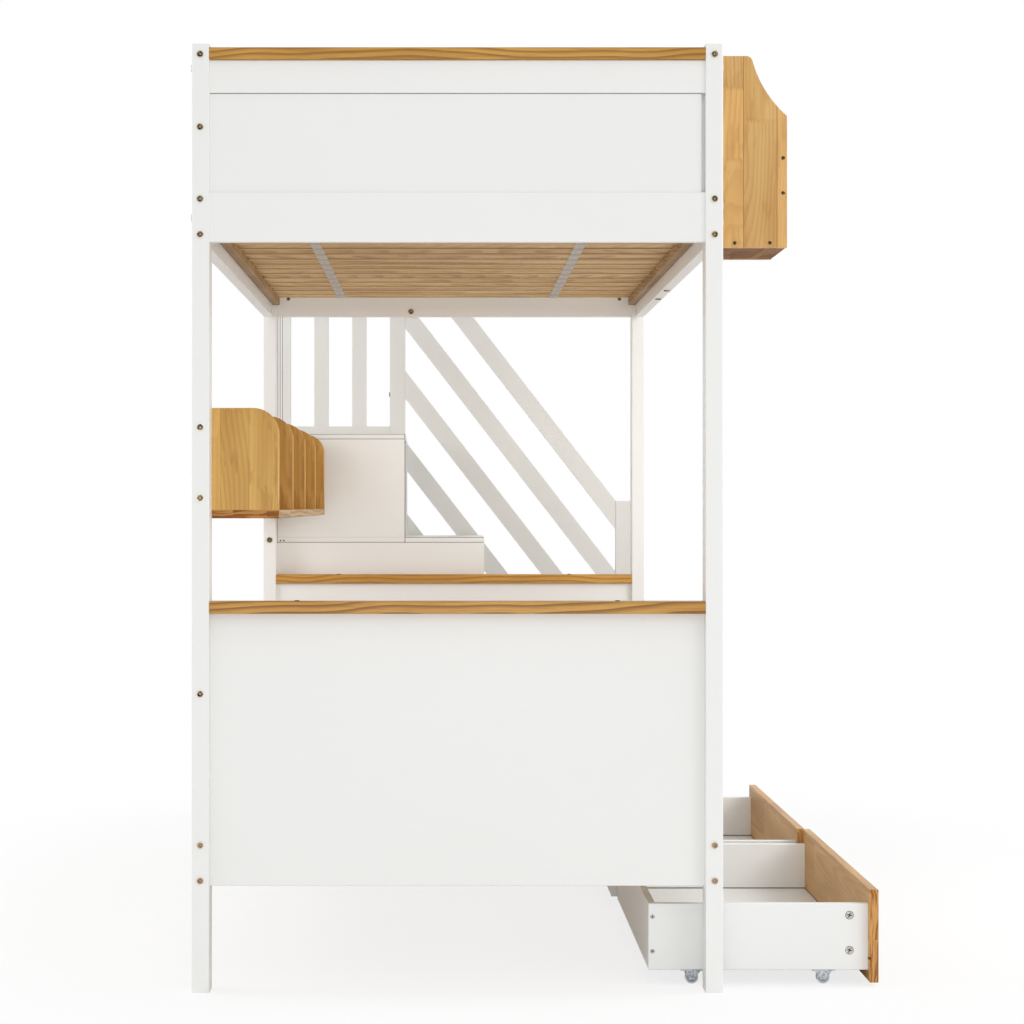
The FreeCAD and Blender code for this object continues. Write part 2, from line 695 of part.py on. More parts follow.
side_blank = block("shelf_side_blank", "outer_shelf_reach", "outer_shelf_board", "outer_shelf_height")
curve = rod("shelf_curve", "shelf_curve_radius", "outer_shelf_board")
curve.Placement = FreeCAD.Placement(FreeCAD.Vector(), FreeCAD.Rotation(UP, HEADINGS["+y"]))
curve.setExpression("Placement.Base.x", tied("outer_shelf_reach + shelf_curve_out"))
curve.setExpression("Placement.Base.z", tied("outer_shelf_height + shelf_curve_up"))
hollowed = cut("shelf_side_hollow", side_blank, [curve])
hollowed.recompute(True)
corner_edges = []
for place, edge in enumerate(hollowed.Shape.Edges, start=1):
    middle = edge.CenterOfMass
    if abs(edge.tangentAt(edge.FirstParameter).dot(HEADINGS["+y"])) < 0.999:
        continue
    if middle.z > number("outer_shelf_height") - 1 and middle.x > 1:
        corner_edges.append((place, number("shelf_corner_round"), number("shelf_corner_round")))
    if middle.x > number("outer_shelf_reach") - 1 and middle.z > 1:
        corner_edges.append((place, number("edge_round"), number("edge_round")))
shelf_side = doc.addObject("Part::Fillet", "shelf_side_pattern")
shelf_side.Base = hollowed
shelf_side.Edges = corner_edges
shelf_bottom = f"({UPPER_RAIL_BOTTOM} - outer_shelf_drop)"
shelf_far_side = "(outer_shelf_start + outer_shelf_length - outer_shelf_board)"
node("outer_shelf_sides", group("shelf_sides", [
    copy("shelf_near_side", shelf_side, HALF, "outer_shelf_start", shelf_bottom),
    copy("shelf_far_side", shelf_side, HALF, shelf_far_side, shelf_bottom),
]))


def shelf_board(name, out, rise, length, height):
    """A board of the outer shelf that runs between its two sides."""
    return board(name, f"({HALF} + {out})", "(outer_shelf_start + outer_shelf_board)",
                 f"({shelf_bottom} + {rise})", length, "outer_shelf_length - 2 * outer_shelf_board",
                 height, "+y")


lip_out = "outer_shelf_reach - lip_thickness"
back_height = "outer_shelf_height - outer_shelf_board"
node("outer_shelf_bottom", shelf_board("shelf_floor", "0", "0", "outer_shelf_reach", "outer_shelf_board"))
node("outer_shelf_lip", shelf_board("shelf_lip", lip_out, "lip_rise", "lip_thickness", "lip_height"))
node("outer_shelf_back", shelf_board("shelf_rear", "0", "outer_shelf_board", "shelf_back_thickness",
                                     back_height))


# ---- Drawers ----
# Each drawer is a box behind a pine front. Its thin bottom runs in grooves of all four boards,
# over two battens, and four fixed casters stand under the battens and sides.

CASTER_HEIGHT = "(wheel_diameter + wheel_top_play + caster_plate)"
FORK_WIDTH = "(wheel_width + 2 * wheel_side_play + 2 * fork_thickness)"


def caster_body():
    """The pressed bracket of one caster: a plate, and two legs that taper to the axle."""
    body = doc.addObject("PartDesign::Body", "caster_bracket")
    axle_height = "wheel_diameter / 2"
    plate_bottom = "(wheel_diameter + wheel_top_play)"
    plate = [("0", plate_bottom), ("plate_length", plate_bottom), ("plate_length", CASTER_HEIGHT),
             ("0", CASTER_HEIGHT)]
    pad(body, "plate", plate, "plate_width")
    legs = [
        ("fork_foot", plate_bottom),
        ("plate_length / 2 - fork_foot", f"{axle_height} - fork_foot"),
        ("plate_length / 2 + fork_foot", f"{axle_height} - fork_foot"),
        ("plate_length - fork_foot", plate_bottom),
    ]
    for place, start in enumerate((f"plate_width / 2 - {FORK_WIDTH} / 2",
                                   f"plate_width / 2 + {FORK_WIDTH} / 2 - fork_thickness")):
        pad(body, f"leg_{place}", legs, "fork_thickness", start)
    hole = rod("axle_hole", "axle_diameter / 2 + axle_play", "plate_width")
    hole.Placement = FreeCAD.Placement(FreeCAD.Vector(), FreeCAD.Rotation(UP, HEADINGS["+y"]))
    hole.setExpression("Placement.Base.x", tied("plate_length / 2"))
    hole.setExpression("Placement.Base.z", tied(axle_height))
    return cut("caster_bracket_drilled", body, [hole])


def wheel_body():
    """One caster wheel, turned about its bore, with a hub, a thin web and a tread with small chamfers."""
    body = doc.addObject("PartDesign::Body", "caster_wheel")
    bore = "axle_diameter / 2 + axle_play"
    hub = "axle_diameter"
    rim = "wheel_diameter / 2 - wheel_width / 4"
    rim_edge = "wheel_diameter / 2 - edge_round / 2"
    web = "wheel_width / 4"
    turned(body, "wheel_turning", [
        (bore, "0"), (hub, "0"), (hub, web), (rim, web), (rim, "0"), (rim_edge, "0"),
        ("wheel_diameter / 2", "edge_round / 2"), ("wheel_diameter / 2", "wheel_width - edge_round / 2"),
        (rim_edge, "wheel_width"), (rim, "wheel_width"), (rim, f"wheel_width - {web}"),
        (hub, f"wheel_width - {web}"), (hub, "wheel_width"), (bore, "wheel_width"),
    ])
    return body


bracket_pattern = caster_body()
wheel_pattern = wheel_body()
axle_pattern = rod("axle_pattern", "axle_diameter / 2", FORK_WIDTH)
ALONG_Y = FreeCAD.Rotation(UP, HEADINGS["+y"])
FRONT_LENGTH = f"(({RAIL_LENGTH} - 3 * drawer_gap) / 2)"
FRONT_TOP = "(lower_rail_bottom - front_top_gap)"
BOX_HEIGHT = f"({FRONT_TOP} - box_top_gap - {CASTER_HEIGHT})"
PANEL_BOTTOM = f"({CASTER_HEIGHT} + bottom_rise)"


def drawer(prefix, out, start):
    """One drawer, its front's outer face pulled out past the bed, its front's near end at start."""
    outer = f"({HALF} + {out})"
    inner = f"({HALF} + {out} - front_thickness)"
    back = f"({inner} - box_depth)"
    box_start = f"({start} + box_setback)"
    box_end = f"({start} + {FRONT_LENGTH} - box_setback)"
    inside_start = f"({box_start} + box_board)"
    inside_length = f"({FRONT_LENGTH} - 2 * box_setback - 2 * box_board)"

    def bottom_groove(name, x, y, length, width):
        """The tool for a groove that holds the thin bottom."""
        tool = block(f"{prefix}_{name}_groove", length, width, "bottom_thickness + groove_play")
        return placed(tool, x, y, f"{PANEL_BOTTOM} - groove_play / 2")

    front = board(f"{prefix}_front_blank", inner, start, "front_floor_gap", "front_thickness", FRONT_LENGTH,
                  f"{FRONT_TOP} - front_floor_gap", "+y")
    tool = bottom_groove("front", inner, start, "bottom_groove", FRONT_LENGTH)
    node(f"{prefix}_drawer_front", cut(f"{prefix}_front", front, [tool]))

    sides = []
    for name, y, groove_start in (
        ("near", box_start, f"({box_start} + box_board - bottom_groove)"),
        ("far", f"({box_end} - box_board)", f"({box_end} - box_board)"),
    ):
        blank = board(f"{prefix}_{name}_blank", back, y, CASTER_HEIGHT, "box_depth", "box_board",
                      BOX_HEIGHT, "+x")
        tool = bottom_groove(name, back, groove_start, "box_depth", "bottom_groove")
        sides.append(cut(f"{prefix}_{name}_side", blank, [tool]))
    node(f"{prefix}_drawer_sides", group(f"{prefix}_sides", sides))

    rear = board(f"{prefix}_back_blank", back, inside_start, CASTER_HEIGHT, "box_board", inside_length,
                 BOX_HEIGHT, "+y")
    tool = bottom_groove("back", f"({back} + box_board - bottom_groove)", inside_start, "bottom_groove",
                         inside_length)
    node(f"{prefix}_drawer_back", cut(f"{prefix}_back", rear, [tool]))

    tuck = "(bottom_groove - groove_play)"
    bottom_panel = block(f"{prefix}_bottom_panel", f"box_depth - box_board + 2 * {tuck}",
                         f"{inside_length} + 2 * {tuck}", "bottom_thickness")
    placed(bottom_panel, f"({back} + box_board - {tuck})", f"({inside_start} - {tuck})", PANEL_BOTTOM)
    pieces = [bottom_panel]
    middles = [f"({back} + caster_inset)", f"({inner} - caster_inset)"]
    for place, middle in enumerate(middles):
        batten = block(f"{prefix}_batten_{place}", "batten_width", inside_length, "bottom_rise")
        pieces.append(placed(batten, f"({middle} - batten_width / 2)", inside_start, CASTER_HEIGHT))
    node(f"{prefix}_drawer_bottom", group(f"{prefix}_bottom", pieces))

    casters = []
    wheels = []
    corners = [(middle, plate_start) for plate_start in (box_start, f"({box_end} - plate_width)")
               for middle in middles]
    for place, (middle, plate_start) in enumerate(corners, start=1):
        name = f"{prefix}_{place}"
        plate_middle = f"({plate_start} + plate_width / 2)"
        bracket_start = f"({middle} - plate_length / 2)"
        axle_start = f"({plate_middle} - {FORK_WIDTH} / 2)"
        casters.append(copy(f"{name}_bracket", bracket_pattern, bracket_start, plate_start, "0"))
        casters.append(copy(f"{name}_axle", axle_pattern, middle, axle_start, "wheel_diameter / 2", ALONG_Y))
        wheel = copy(f"{name}_wheel", wheel_pattern, middle, f"({plate_middle} - wheel_width / 2)",
                     "wheel_diameter / 2", ALONG_Y)
        wheels.append((f"{prefix}_drawer_wheel_{place}", wheel))
    node(f"{prefix}_drawer_casters", group(f"{prefix}_casters", casters))
    for label, wheel in wheels:
        node(label, wheel)


drawer("near", "near_drawer_out", "(post_depth + drawer_gap)")
drawer("far", "far_drawer_out", f"(post_depth + 2 * drawer_gap + {FRONT_LENGTH})")


# ---- Stairs: four stacked box levels against the far posts ----
# Every level has side panels, a board at the wall and a divider under the front of the next level.
# A tread and a shelf lie on top. Each level is open at its front, under its tread.

WALL_START = f"(-{HALF})"
LEVEL_HEIGHT = f"({STAIR_RISE} - stair_board)"
OUTER_PANEL = "(bed_length + stair_depth - stair_board)"
INSIDE_START = "(bed_length + stair_board)"
INSIDE_DEPTH = "(stair_depth - 2 * stair_board)"


def stair_slab(name, start, end, top, thickness):
    """A level board of the stairs, as deep as the stairs."""
    return board(name, start, "bed_length", f"({top} - {thickness})", f"{end} - {start}", "stair_depth",
                 thickness, "+x")


bed_side = []
outer_side = []
wall_boards = []
stair_dividers = []
treads = []
shelves = [stair_slab("stair_base", WALL_START, STAIR_FRONTS[0], "base_board", "base_board")]
floors = ["base_board"] + TREAD_TOPS[:3]
panel_holes = {0: stair_holes["panel_1"], 1: stair_holes["panel_2"]}
for level, (floor, top, front) in enumerate(zip(floors, TREAD_TOPS, STAIR_FRONTS)):
    length = f"{front} - {WALL_START}"
    panel = block(f"bed_side_{level}", length, "stair_board", LEVEL_HEIGHT)
    placed(panel, WALL_START, "bed_length", floor)
    if level in panel_holes:
        panel = cut(f"bed_side_{level}_drilled", panel, panel_holes[level])
    bed_side.append(panel)
    outer = block(f"outer_side_{level}", length, "stair_board", LEVEL_HEIGHT)
    outer_side.append(placed(outer, WALL_START, OUTER_PANEL, floor))
    wall = block(f"wall_board_{level}", "stair_board", INSIDE_DEPTH, LEVEL_HEIGHT)
    wall_boards.append(placed(wall, WALL_START, INSIDE_START, floor))
    if level == 3:
        treads.append(stair_slab("stair_platform", WALL_START, front, top, "stair_board"))
        continue
    next_front = STAIR_FRONTS[level + 1]
    divider = block(f"stair_divider_{level}", "stair_board", INSIDE_DEPTH, LEVEL_HEIGHT)
    stair_dividers.append(placed(divider, f"({next_front} - stair_board)", INSIDE_START, floor))
    treads.append(stair_slab(f"stair_tread_{level}", next_front, front, top, "stair_board"))
    shelf = stair_slab(f"stair_shelf_{level}", WALL_START, next_front, top, "stair_board")
    if level == 2:
        shelf = cut(f"stair_shelf_{level}_drilled", shelf, stair_holes["shelf"])
    shelves.append(shelf)
node("stair_bed_side_panels", group("bed_side_panels", bed_side))
node("stair_outer_panels", group("outer_panels", outer_side))
node("stair_wall_panels", group("wall_panels", wall_boards))
node("stair_dividers", group("level_dividers", stair_dividers))
node("stair_treads", group("tread_boards", treads))
node("stair_shelves", group("shelf_boards", shelves))


# ---- Railing on the outer side of the stairs ----

MID_POST = f"({PLATFORM_EDGE} - mid_post_inset - railing_post_width)"
NEWEL = f"({STAIR_FRONTS[0]} - railing_post_width)"
RAILING_START = f"(railing_post_width - {HALF})"
GAP_LENGTH = f"({MID_POST} - {RAILING_START})"
node("railing_posts", group("three_posts", [
    board(name, start, RAILING_FACE, "0", "railing_post_width", "railing_thickness", height, "+z")
    for name, start, height in (
        ("wall_post", WALL_START, "bed_height"),
        ("mid_post", MID_POST, "bed_height"),
        ("newel_post", NEWEL, NEWEL_TOP),
    )
]))
node("railing_rails", group("two_rails", [
    board(f"railing_{name}", RAILING_START, RAILING_FACE, bottom, GAP_LENGTH, "railing_thickness",
          "railing_rail_height", "+x")
    for name, bottom in (("foot", TREAD_TOPS[3]), ("head", "(bed_height - railing_rail_height)"))
]))
slat_bottom = f"({TREAD_TOPS[3]} + railing_rail_height)"
slat_gap = f"(({GAP_LENGTH} - railing_slat_count * railing_slat_width) / (railing_slat_count + 1))"
slat_front = f"({RAILING_FACE} + railing_thickness / 2 - railing_slat_thickness / 2)"
slat_height = f"bed_height - railing_rail_height - {slat_bottom}"
uprights = []
for place in range(SIZES["railing_slat_count"]):
    start = f"({RAILING_START} + {slat_gap} + {place} * ({slat_gap} + railing_slat_width))"
    uprights.append(board(f"upright_{place}", start, slat_front, slat_bottom, "railing_slat_width",
                          "railing_slat_thickness", slat_height, "+z"))
node("railing_slats", group("two_uprights", uprights))

# A diagonal rail is a parallelogram between the mid post and the newel. The top one meets the
# newel's top, so the fall is the same for all of them.
DIAGONAL_START = f"({MID_POST} + railing_post_width)"
diagonal_run = f"({NEWEL} - {DIAGONAL_START})"
diagonal_fall = f"(bed_height - diagonal_drop - {NEWEL_TOP})"
diagonal_body = doc.addObject("PartDesign::Body", "diagonal_pattern")
pad(diagonal_body, "diagonal", [
    ("0", diagonal_fall),
    (diagonal_run, "0"),
    (diagonal_run, "diagonal_width"),
    ("0", f"{diagonal_fall} + diagonal_width"),
], "diagonal_thickness")
diagonal_pitch = f"(({NEWEL_TOP} - diagonal_width - diagonal_floor_gap) / (diagonal_count - 1))"
diagonals = []
for place in range(SIZES["diagonal_count"]):
    bottom = f"({NEWEL_TOP} - diagonal_width - {place} * {diagonal_pitch})"
    diagonals.append(copy(f"diagonal_{place}", diagonal_body, DIAGONAL_START,
                          f"({RAILING_FACE} + railing_thickness / 2 - diagonal_thickness / 2)", bottom))
node("railing_diagonals", group("five_diagonals", diagonals))

node("frame_bolts", group("all_bolts", bolts))
node("barrel_nuts", group("all_nuts", nuts))

doc.recompute()

for item in doc.Objects:
    if "Invalid" in item.State or "Error" in item.State:
        raise RuntimeError(f"{item.Name} failed: {item.State}")
for item in nodes:
    if item.Shape.isNull() or not item.Shape.isValid():
        raise RuntimeError(f"{item.Label} has no valid shape")

os.makedirs("parts", exist_ok=True)
for item in nodes:
    item.Shape.exportStep(f"parts/{item.Label}.step")
print(len(nodes), "nodes,", sum(len(item.Shape.Solids) for item in nodes), "solids")
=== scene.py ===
# %% [markdown]
# # A bunk bed with storage stairs
# The real bed is painted white, with caps, shelves and drawer fronts of lacquered pine. Its solids
# come from the frame, ready made and in place, so this lesson only dresses them: finishes worked out
# by nodes, and the small things that are too fine for the solids, such as straps, staples and screws.

# %% Load the frame and keep its box
import math

import bmesh
import bpy
import numpy as np
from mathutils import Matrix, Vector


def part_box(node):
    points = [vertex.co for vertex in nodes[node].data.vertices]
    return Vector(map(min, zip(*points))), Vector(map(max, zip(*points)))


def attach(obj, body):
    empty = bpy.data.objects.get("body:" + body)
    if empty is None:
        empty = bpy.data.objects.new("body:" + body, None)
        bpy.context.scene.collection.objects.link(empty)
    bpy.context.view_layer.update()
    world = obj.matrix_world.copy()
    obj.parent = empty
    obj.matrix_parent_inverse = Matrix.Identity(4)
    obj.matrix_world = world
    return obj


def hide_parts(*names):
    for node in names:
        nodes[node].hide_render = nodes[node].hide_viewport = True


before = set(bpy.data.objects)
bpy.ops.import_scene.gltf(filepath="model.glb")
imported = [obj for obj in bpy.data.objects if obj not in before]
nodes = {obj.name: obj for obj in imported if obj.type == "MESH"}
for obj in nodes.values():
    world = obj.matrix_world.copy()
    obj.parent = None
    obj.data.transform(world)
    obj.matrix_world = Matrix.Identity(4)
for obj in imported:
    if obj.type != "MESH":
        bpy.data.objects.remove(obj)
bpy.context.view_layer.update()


# %% [markdown]
# ## Where things are
# The origin is the middle of the footprint. A maker measures a bed from its near end and its centre
# plane, in millimetres. Two helpers go between those measures and the frame's metres, so that small
# pieces take their places from the solids that carry them.

# %% The maker's measures
post_low, post_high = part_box("post_near_left")
right_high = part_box("post_near_right")[1]
END_FACE = post_low.y
CENTRE = (post_low.x + right_high.x) / 2
HALF_WIDTH = (right_high.x - post_low.x) / 2


def spot(x, y, z):
    """A point in metres from millimetres across, along and above the floor."""
    return (CENTRE + x / 1000, END_FACE + y / 1000, z / 1000)


def measure(node):
    """A node's low and high corners in the maker's millimetres."""
    return [(np.array(place) - spot(0, 0, 0)) * 1000 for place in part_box(node)]


print("bed", round(2 * HALF_WIDTH, 3), "m wide,", round(post_high.z, 3), "m high")


# %% [markdown]
# ## Shader maths as Python
# A finish is a formula on the point's place: where the growth rings run, how the weave lies. Nodes
# can hold such a formula, but a long chain of Math nodes is hard to read. A small class wraps a
# node's output and turns plus, minus and times into nodes, so the formula reads as it would on paper.

# %% Wires and their nodes
class Wire:
    """One output of a node. Arithmetic on it adds Math nodes."""

    def __init__(self, finish, socket):
        self.finish = finish
        self.socket = socket

    def maths(self, operation, *values):
        inputs = dict(enumerate((self,) + values))
        return self.finish.node("Math", {"operation": operation}, inputs)

    def __add__(self, other):
        return self.maths("ADD", other)

    def __radd__(self, other):
        return self.maths("ADD", other)

    def __sub__(self, other):
        return self.maths("SUBTRACT", other)

    def __rsub__(self, other):
        return self.finish.node("Math", {"operation": "SUBTRACT"}, {0: other, 1: self})

    def __mul__(self, other):
        return self.maths("MULTIPLY", other)

    def __rmul__(self, other):
        return self.maths("MULTIPLY", other)

    def __truediv__(self, other):
        return self.maths("DIVIDE", other)

    def fraction(self):
        return self.maths("FRACT")

    def floor(self):
        return self.maths("FLOOR")

    def size(self):
        return self.maths("ABSOLUTE")

    def root(self):
        return self.maths("SQRT")

    def smaller(self, other):
        return self.maths("MINIMUM", other)

    def larger(self, other):
        return self.maths("MAXIMUM", other)

    def rise(self, low, high):
        """0 below low, 1 above high and a soft slope between."""
        inputs = {"Value": self, "From Min": low, "From Max": high}
        return self.finish.node("MapRange", {"interpolation_type": "SMOOTHSTEP"}, inputs)


class Finish:
    """The nodes of one material, or of the world, and the single method that makes them."""

    def __init__(self, name, owner=None):
        self.owner = owner or bpy.data.materials.new(name)
        self.owner.use_nodes = True
        self.tree = self.owner.node_tree
        self.tree.nodes.clear()

    def node(self, kind, settings=None, inputs=None, output=0):
        """Make a node, set its settings, then join or fill its sockets."""
        made = self.tree.nodes.new(f"ShaderNode{kind}")
        for name, value in (settings or {}).items():
            setattr(made, name, value)
        for name, value in (inputs or {}).items():
            if isinstance(value, Wire):
                self.tree.links.new(value.socket, made.inputs[name])
            else:
                made.inputs[name].default_value = value
        return Wire(self, made.outputs[output]) if made.outputs else None

    def place(self):
        """The point's own x, y and z in metres."""
        coordinates = self.node("TexCoord", output="Object")
        return [self.node("SeparateXYZ", None, {0: coordinates}, axis) for axis in range(3)]

    def vector(self, x, y, z):
        return self.node("CombineXYZ", None, {0: x, 1: y, 2: z})

    def noise(self, vector, scale=1.0, detail=2.0, roughness=0.5):
        inputs = {"Vector": vector, "Scale": scale, "Detail": detail, "Roughness": roughness}
        return self.node("TexNoise", None, inputs)

    def chance(self, x, y, z=0.0, output=0):
        """A random number, or colour, for each whole-numbered cell."""
        return self.node("TexWhiteNoise", None, {"Vector": self.vector(x, y, z)}, output)

    def mix(self, factor, first, second):
        settings = {"data_type": "RGBA"}
        return self.node("Mix", settings, {0: factor, 6: first, 7: second}, 2)

    def shade(self, factor, colour):
        """A colour multiplied by a number."""
        inputs = {0: colour, "Scale": factor}
        return self.node("VectorMath", {"operation": "SCALE"}, inputs)

    def surface(self, inputs, bump=None, strength=0.3, depth=0.0005):
        """Close the material with one Principled shader, and a bump if there is one."""
        if bump:
            heights = {"Height": bump, "Strength": strength, "Distance": depth}
            inputs = dict(inputs, Normal=self.node("Bump", None, heights))
        return self.close(self.node("BsdfPrincipled", None, inputs))

    def close(self, shader):
        """Send a shader to the output, and give the finished material."""
        self.node("OutputMaterial", None, {"Surface": shader})
        return self.owner


def rgb(red, green, blue):
    """A colour as a screen shows it, from 0 to 255, as the linear colour that nodes take."""
    linear = [(part / 255) ** 2.2 for part in (red, green, blue)]
    return (*linear, 1.0)


def darker(colour, steps):
    """A colour that lies some steps of 255 lower."""
    return [part - steps for part in colour]


# %% [markdown]
# ## White paint
# The posts and rails are pine under sprayed white paint. Paint levels itself, so what is left is a
# faint run of the wood's grain under the film, and an orange peel a few tenths of a millimetre deep.
# The finish stretches one noise along the board for the grain and lays a finer one over it. The
# railing of the stairs is a greyer white than the bed: painted shade, for the light that falls off
# towards the far end.

# %% A satin paint for each direction of the wood
AXES = "xyz"
PAINT_WHITE = (240, 240, 238)
# The railing's greyer white is painted shade, for the light that falls off towards the far end.
RAILING_SHADED_WHITE = (225, 223, 218)
GRAIN_ALONG, GRAIN_ACROSS = 9.0, 260.0
PEEL_SCALE = 700.0


def white_paint(name, grain, colour=PAINT_WHITE):
    """Satin paint on boards whose grain runs along one axis."""
    finish = Finish(name)
    place = finish.place()
    stretched = [part * (GRAIN_ALONG if axis == grain else GRAIN_ACROSS) for axis, part in zip(AXES, place)]
    fibres = finish.noise(finish.vector(*stretched), detail=3.0)
    peel = finish.noise(finish.vector(*place), scale=PEEL_SCALE, detail=1.0)
    cloud = finish.noise(finish.vector(*place), scale=5.0)
    tint = finish.mix(cloud * 0.6 + fibres * 0.4, rgb(*darker(colour, 4)), rgb(*colour))
    rough = 0.42 + (cloud - 0.5) * 0.08 + (fibres - 0.5) * 0.05
    inputs = {"Base Color": tint, "Roughness": rough}
    return finish.surface(inputs, fibres * 0.7 + peel * 0.3, strength=0.12, depth=0.0004)


PAINT = {axis: white_paint(f"white_paint_{axis}", axis) for axis in AXES}
# Paints for the railing, in its greyer white of painted shade.
SHADED_RAILING_PAINT = {axis: white_paint(f"railing_shaded_paint_{axis}", axis, RAILING_SHADED_WHITE) for axis in "xz"}
print("paints:", sorted(PAINT), "and for the railing", sorted(SHADED_RAILING_PAINT))


# %% [markdown]
# ## White coated board
# The stairs and the drawers are flat board with a pressed white coat. It has no grain, only a very
# fine pebble that breaks up its highlights, and a slightly cooler white than the paint.

# %% A fine pebbled coat
BOARD_WHITE = (240, 241, 239)
PEBBLE_SCALE = 1400.0


def coated_board(name):
    """A smooth coated board with a fine pebble."""
    finish = Finish(name)
    place = finish.place()
    pebble = finish.noise(finish.vector(*place), scale=PEBBLE_SCALE, detail=1.0)
    cloud = finish.noise(finish.vector(*place), scale=3.0)
    tint = finish.mix(cloud, rgb(*darker(BOARD_WHITE, 3)), rgb(*BOARD_WHITE))
    inputs = {"Base Color": tint, "Roughness": 0.34 + (cloud - 0.5) * 0.06 + (pebble - 0.5) * 0.08}
    return finish.surface(inputs, pebble, strength=0.1, depth=0.0002)


BOARD = coated_board("coated_board")
print("board:", BOARD.name)


# %% [markdown]
# ## Lacquered pine
# A tree's growth rings are long cones about its pith. A saw cuts a flat face through them, and the
# face shows straight lines far from the pith and arches near it. Boards wider than a tree gives are
# glued from staves, and a stave is itself made of lengths with zigzag finger joints. The finish
# follows that: it numbers the staves and lengths, draws a pith for each by chance, measures the
# point's distance from that pith and colours each ring from pale early wood to a brown late line.

# %% Tones of pine, from early wood to late line
SHELF_TONES = ((212, 167, 88), (190, 142, 66), (150, 96, 34))
OUTER_TONES = ((218, 174, 108), (200, 152, 86), (160, 104, 44))
CAP_TONES = ((206, 155, 72), (190, 137, 56), (120, 72, 22))
FRONT_TONES = ((204, 157, 90), (186, 136, 70), (138, 86, 32))
DIVIDER_TONES = ((222, 176, 92), (200, 150, 68), (160, 102, 36))
# The tones under the outer shelf are darker than the shelf's own: painted shade, for a board seen from
# below.
SHADED_UNDER_TONES = ((150, 106, 60), (130, 88, 46), (98, 58, 26))
SLAT_TONES = ((220, 188, 140), (196, 160, 112), (134, 94, 50))
LEDGER_TONES = ((176, 146, 108), (158, 127, 88), (120, 86, 52))
KNOT = (96, 56, 28)

# %% The parts of a pine face
FINGERS = 170.0
FINGER_DEPTH = 0.017
SEAM_WIDTH, JOINT_WIDTH = 0.0016, 0.0013


def growth_rings(finish, side, run, depth, luck, lot, ring, wave):
    """A number from 0 to 1 that grows across each year's ring.

    The distance from a leaning, slightly wandering pith is divided by a ring's width, and the
    whole part is dropped.
    """
    aside, under, lean = luck
    wander = finish.noise(finish.vector(run * 2.4, side * 7.0, lot * 3.7), detail=2.0) - 0.5
    pith_side = side + (aside - 0.5) * 0.13
    pith_depth = depth + under * 0.05 + 0.012 + run * (lean - 0.5) * 0.12 + wander * wave
    reach = (pith_side * pith_side + pith_depth * pith_depth).root()
    return (reach / (ring * (0.7 + 0.8 * under)) + wander * 1.2).fraction()


def stave_ends(finish, number, run, side, length, joints, seed):
    """Which length of its stave a point is in, how far the nearest finger joint is, and its tone.

    The joint zigzags, so a triangle wave across the stave is added to the place along the grain.
    Lengths are spread by chance, unless a list gives each one's stave, start and tone: then a point
    takes the tone of the last start that it has passed.
    """
    zigzag = ((side * FINGERS).fraction() - 0.5).size() * FINGER_DEPTH
    if not joints:
        start = finish.chance(number, seed) * length
        place = (run + start + zigzag) / length
        part = place.fraction()
        lot = place.floor()
        tone = 0.91 + 0.18 * finish.chance(number, lot, seed + 1.0)
        return lot, part.smaller(1.0 - part) * length, tone
    lot, gap, tone = number * 0.0, number * 0.0 + 1.0, number * 0.0 + 1.0
    for stave, height, shade in joints:
        here = finish.node("Math", {"operation": "COMPARE"}, {0: number, 1: float(stave), 2: 0.5})
        past = (run + zigzag).maths("GREATER_THAN", height)
        lot = lot + here * past
        gap = gap.smaller((run + zigzag - height).size() + (1.0 - here))
        tone = tone + (shade - tone) * here * past
    return lot, gap, tone


def knots(finish, run, side, number):
    """1 in a knot and 0 elsewhere: near the centre of a rare cell of a stretched grid."""
    cells = {"Vector": finish.vector(run * 3.2, side * 11.0, number * 0.37), "Scale": 1.0}
    away = finish.node("TexVoronoi", {"feature": "F1"}, cells)
    luck = finish.node("TexVoronoi", {"feature": "F1"}, cells, "Color")
    rare = finish.node("SeparateXYZ", None, {0: luck}, 0).rise(0.93, 0.94)
    return (1.0 - away.rise(0.03, 0.08)) * rare


def sawn_faces(finish, wood, place, bands, faces):
    """Give each sawn face bands of its own two colours, up to 0.8 mm away from its level."""
    for axis, level, pale, dark in faces:
        sawn = finish.mix(bands, rgb(*pale), rgb(*dark))
        away = (place[axis] - level).size().rise(0.0004, 0.0008)
        wood = finish.mix(1.0 - away, wood, sawn)
    return wood


def lit_and_shaded_edges(finish, wood, beside, up, pale, foot, step):
    """Paint a highlight on the points beside an edge at the foot of their board, and shade above it.

    Boards lie a step apart, so the height in a board is the remainder of the height over the step.
    """
    height = ((up - foot) / step).fraction() * step
    wood = finish.mix(beside * 0.5, wood, rgb(*pale))
    return finish.mix(beside * height.rise(0.0018, 0.0036) * 0.6, wood, rgb(*KNOT))


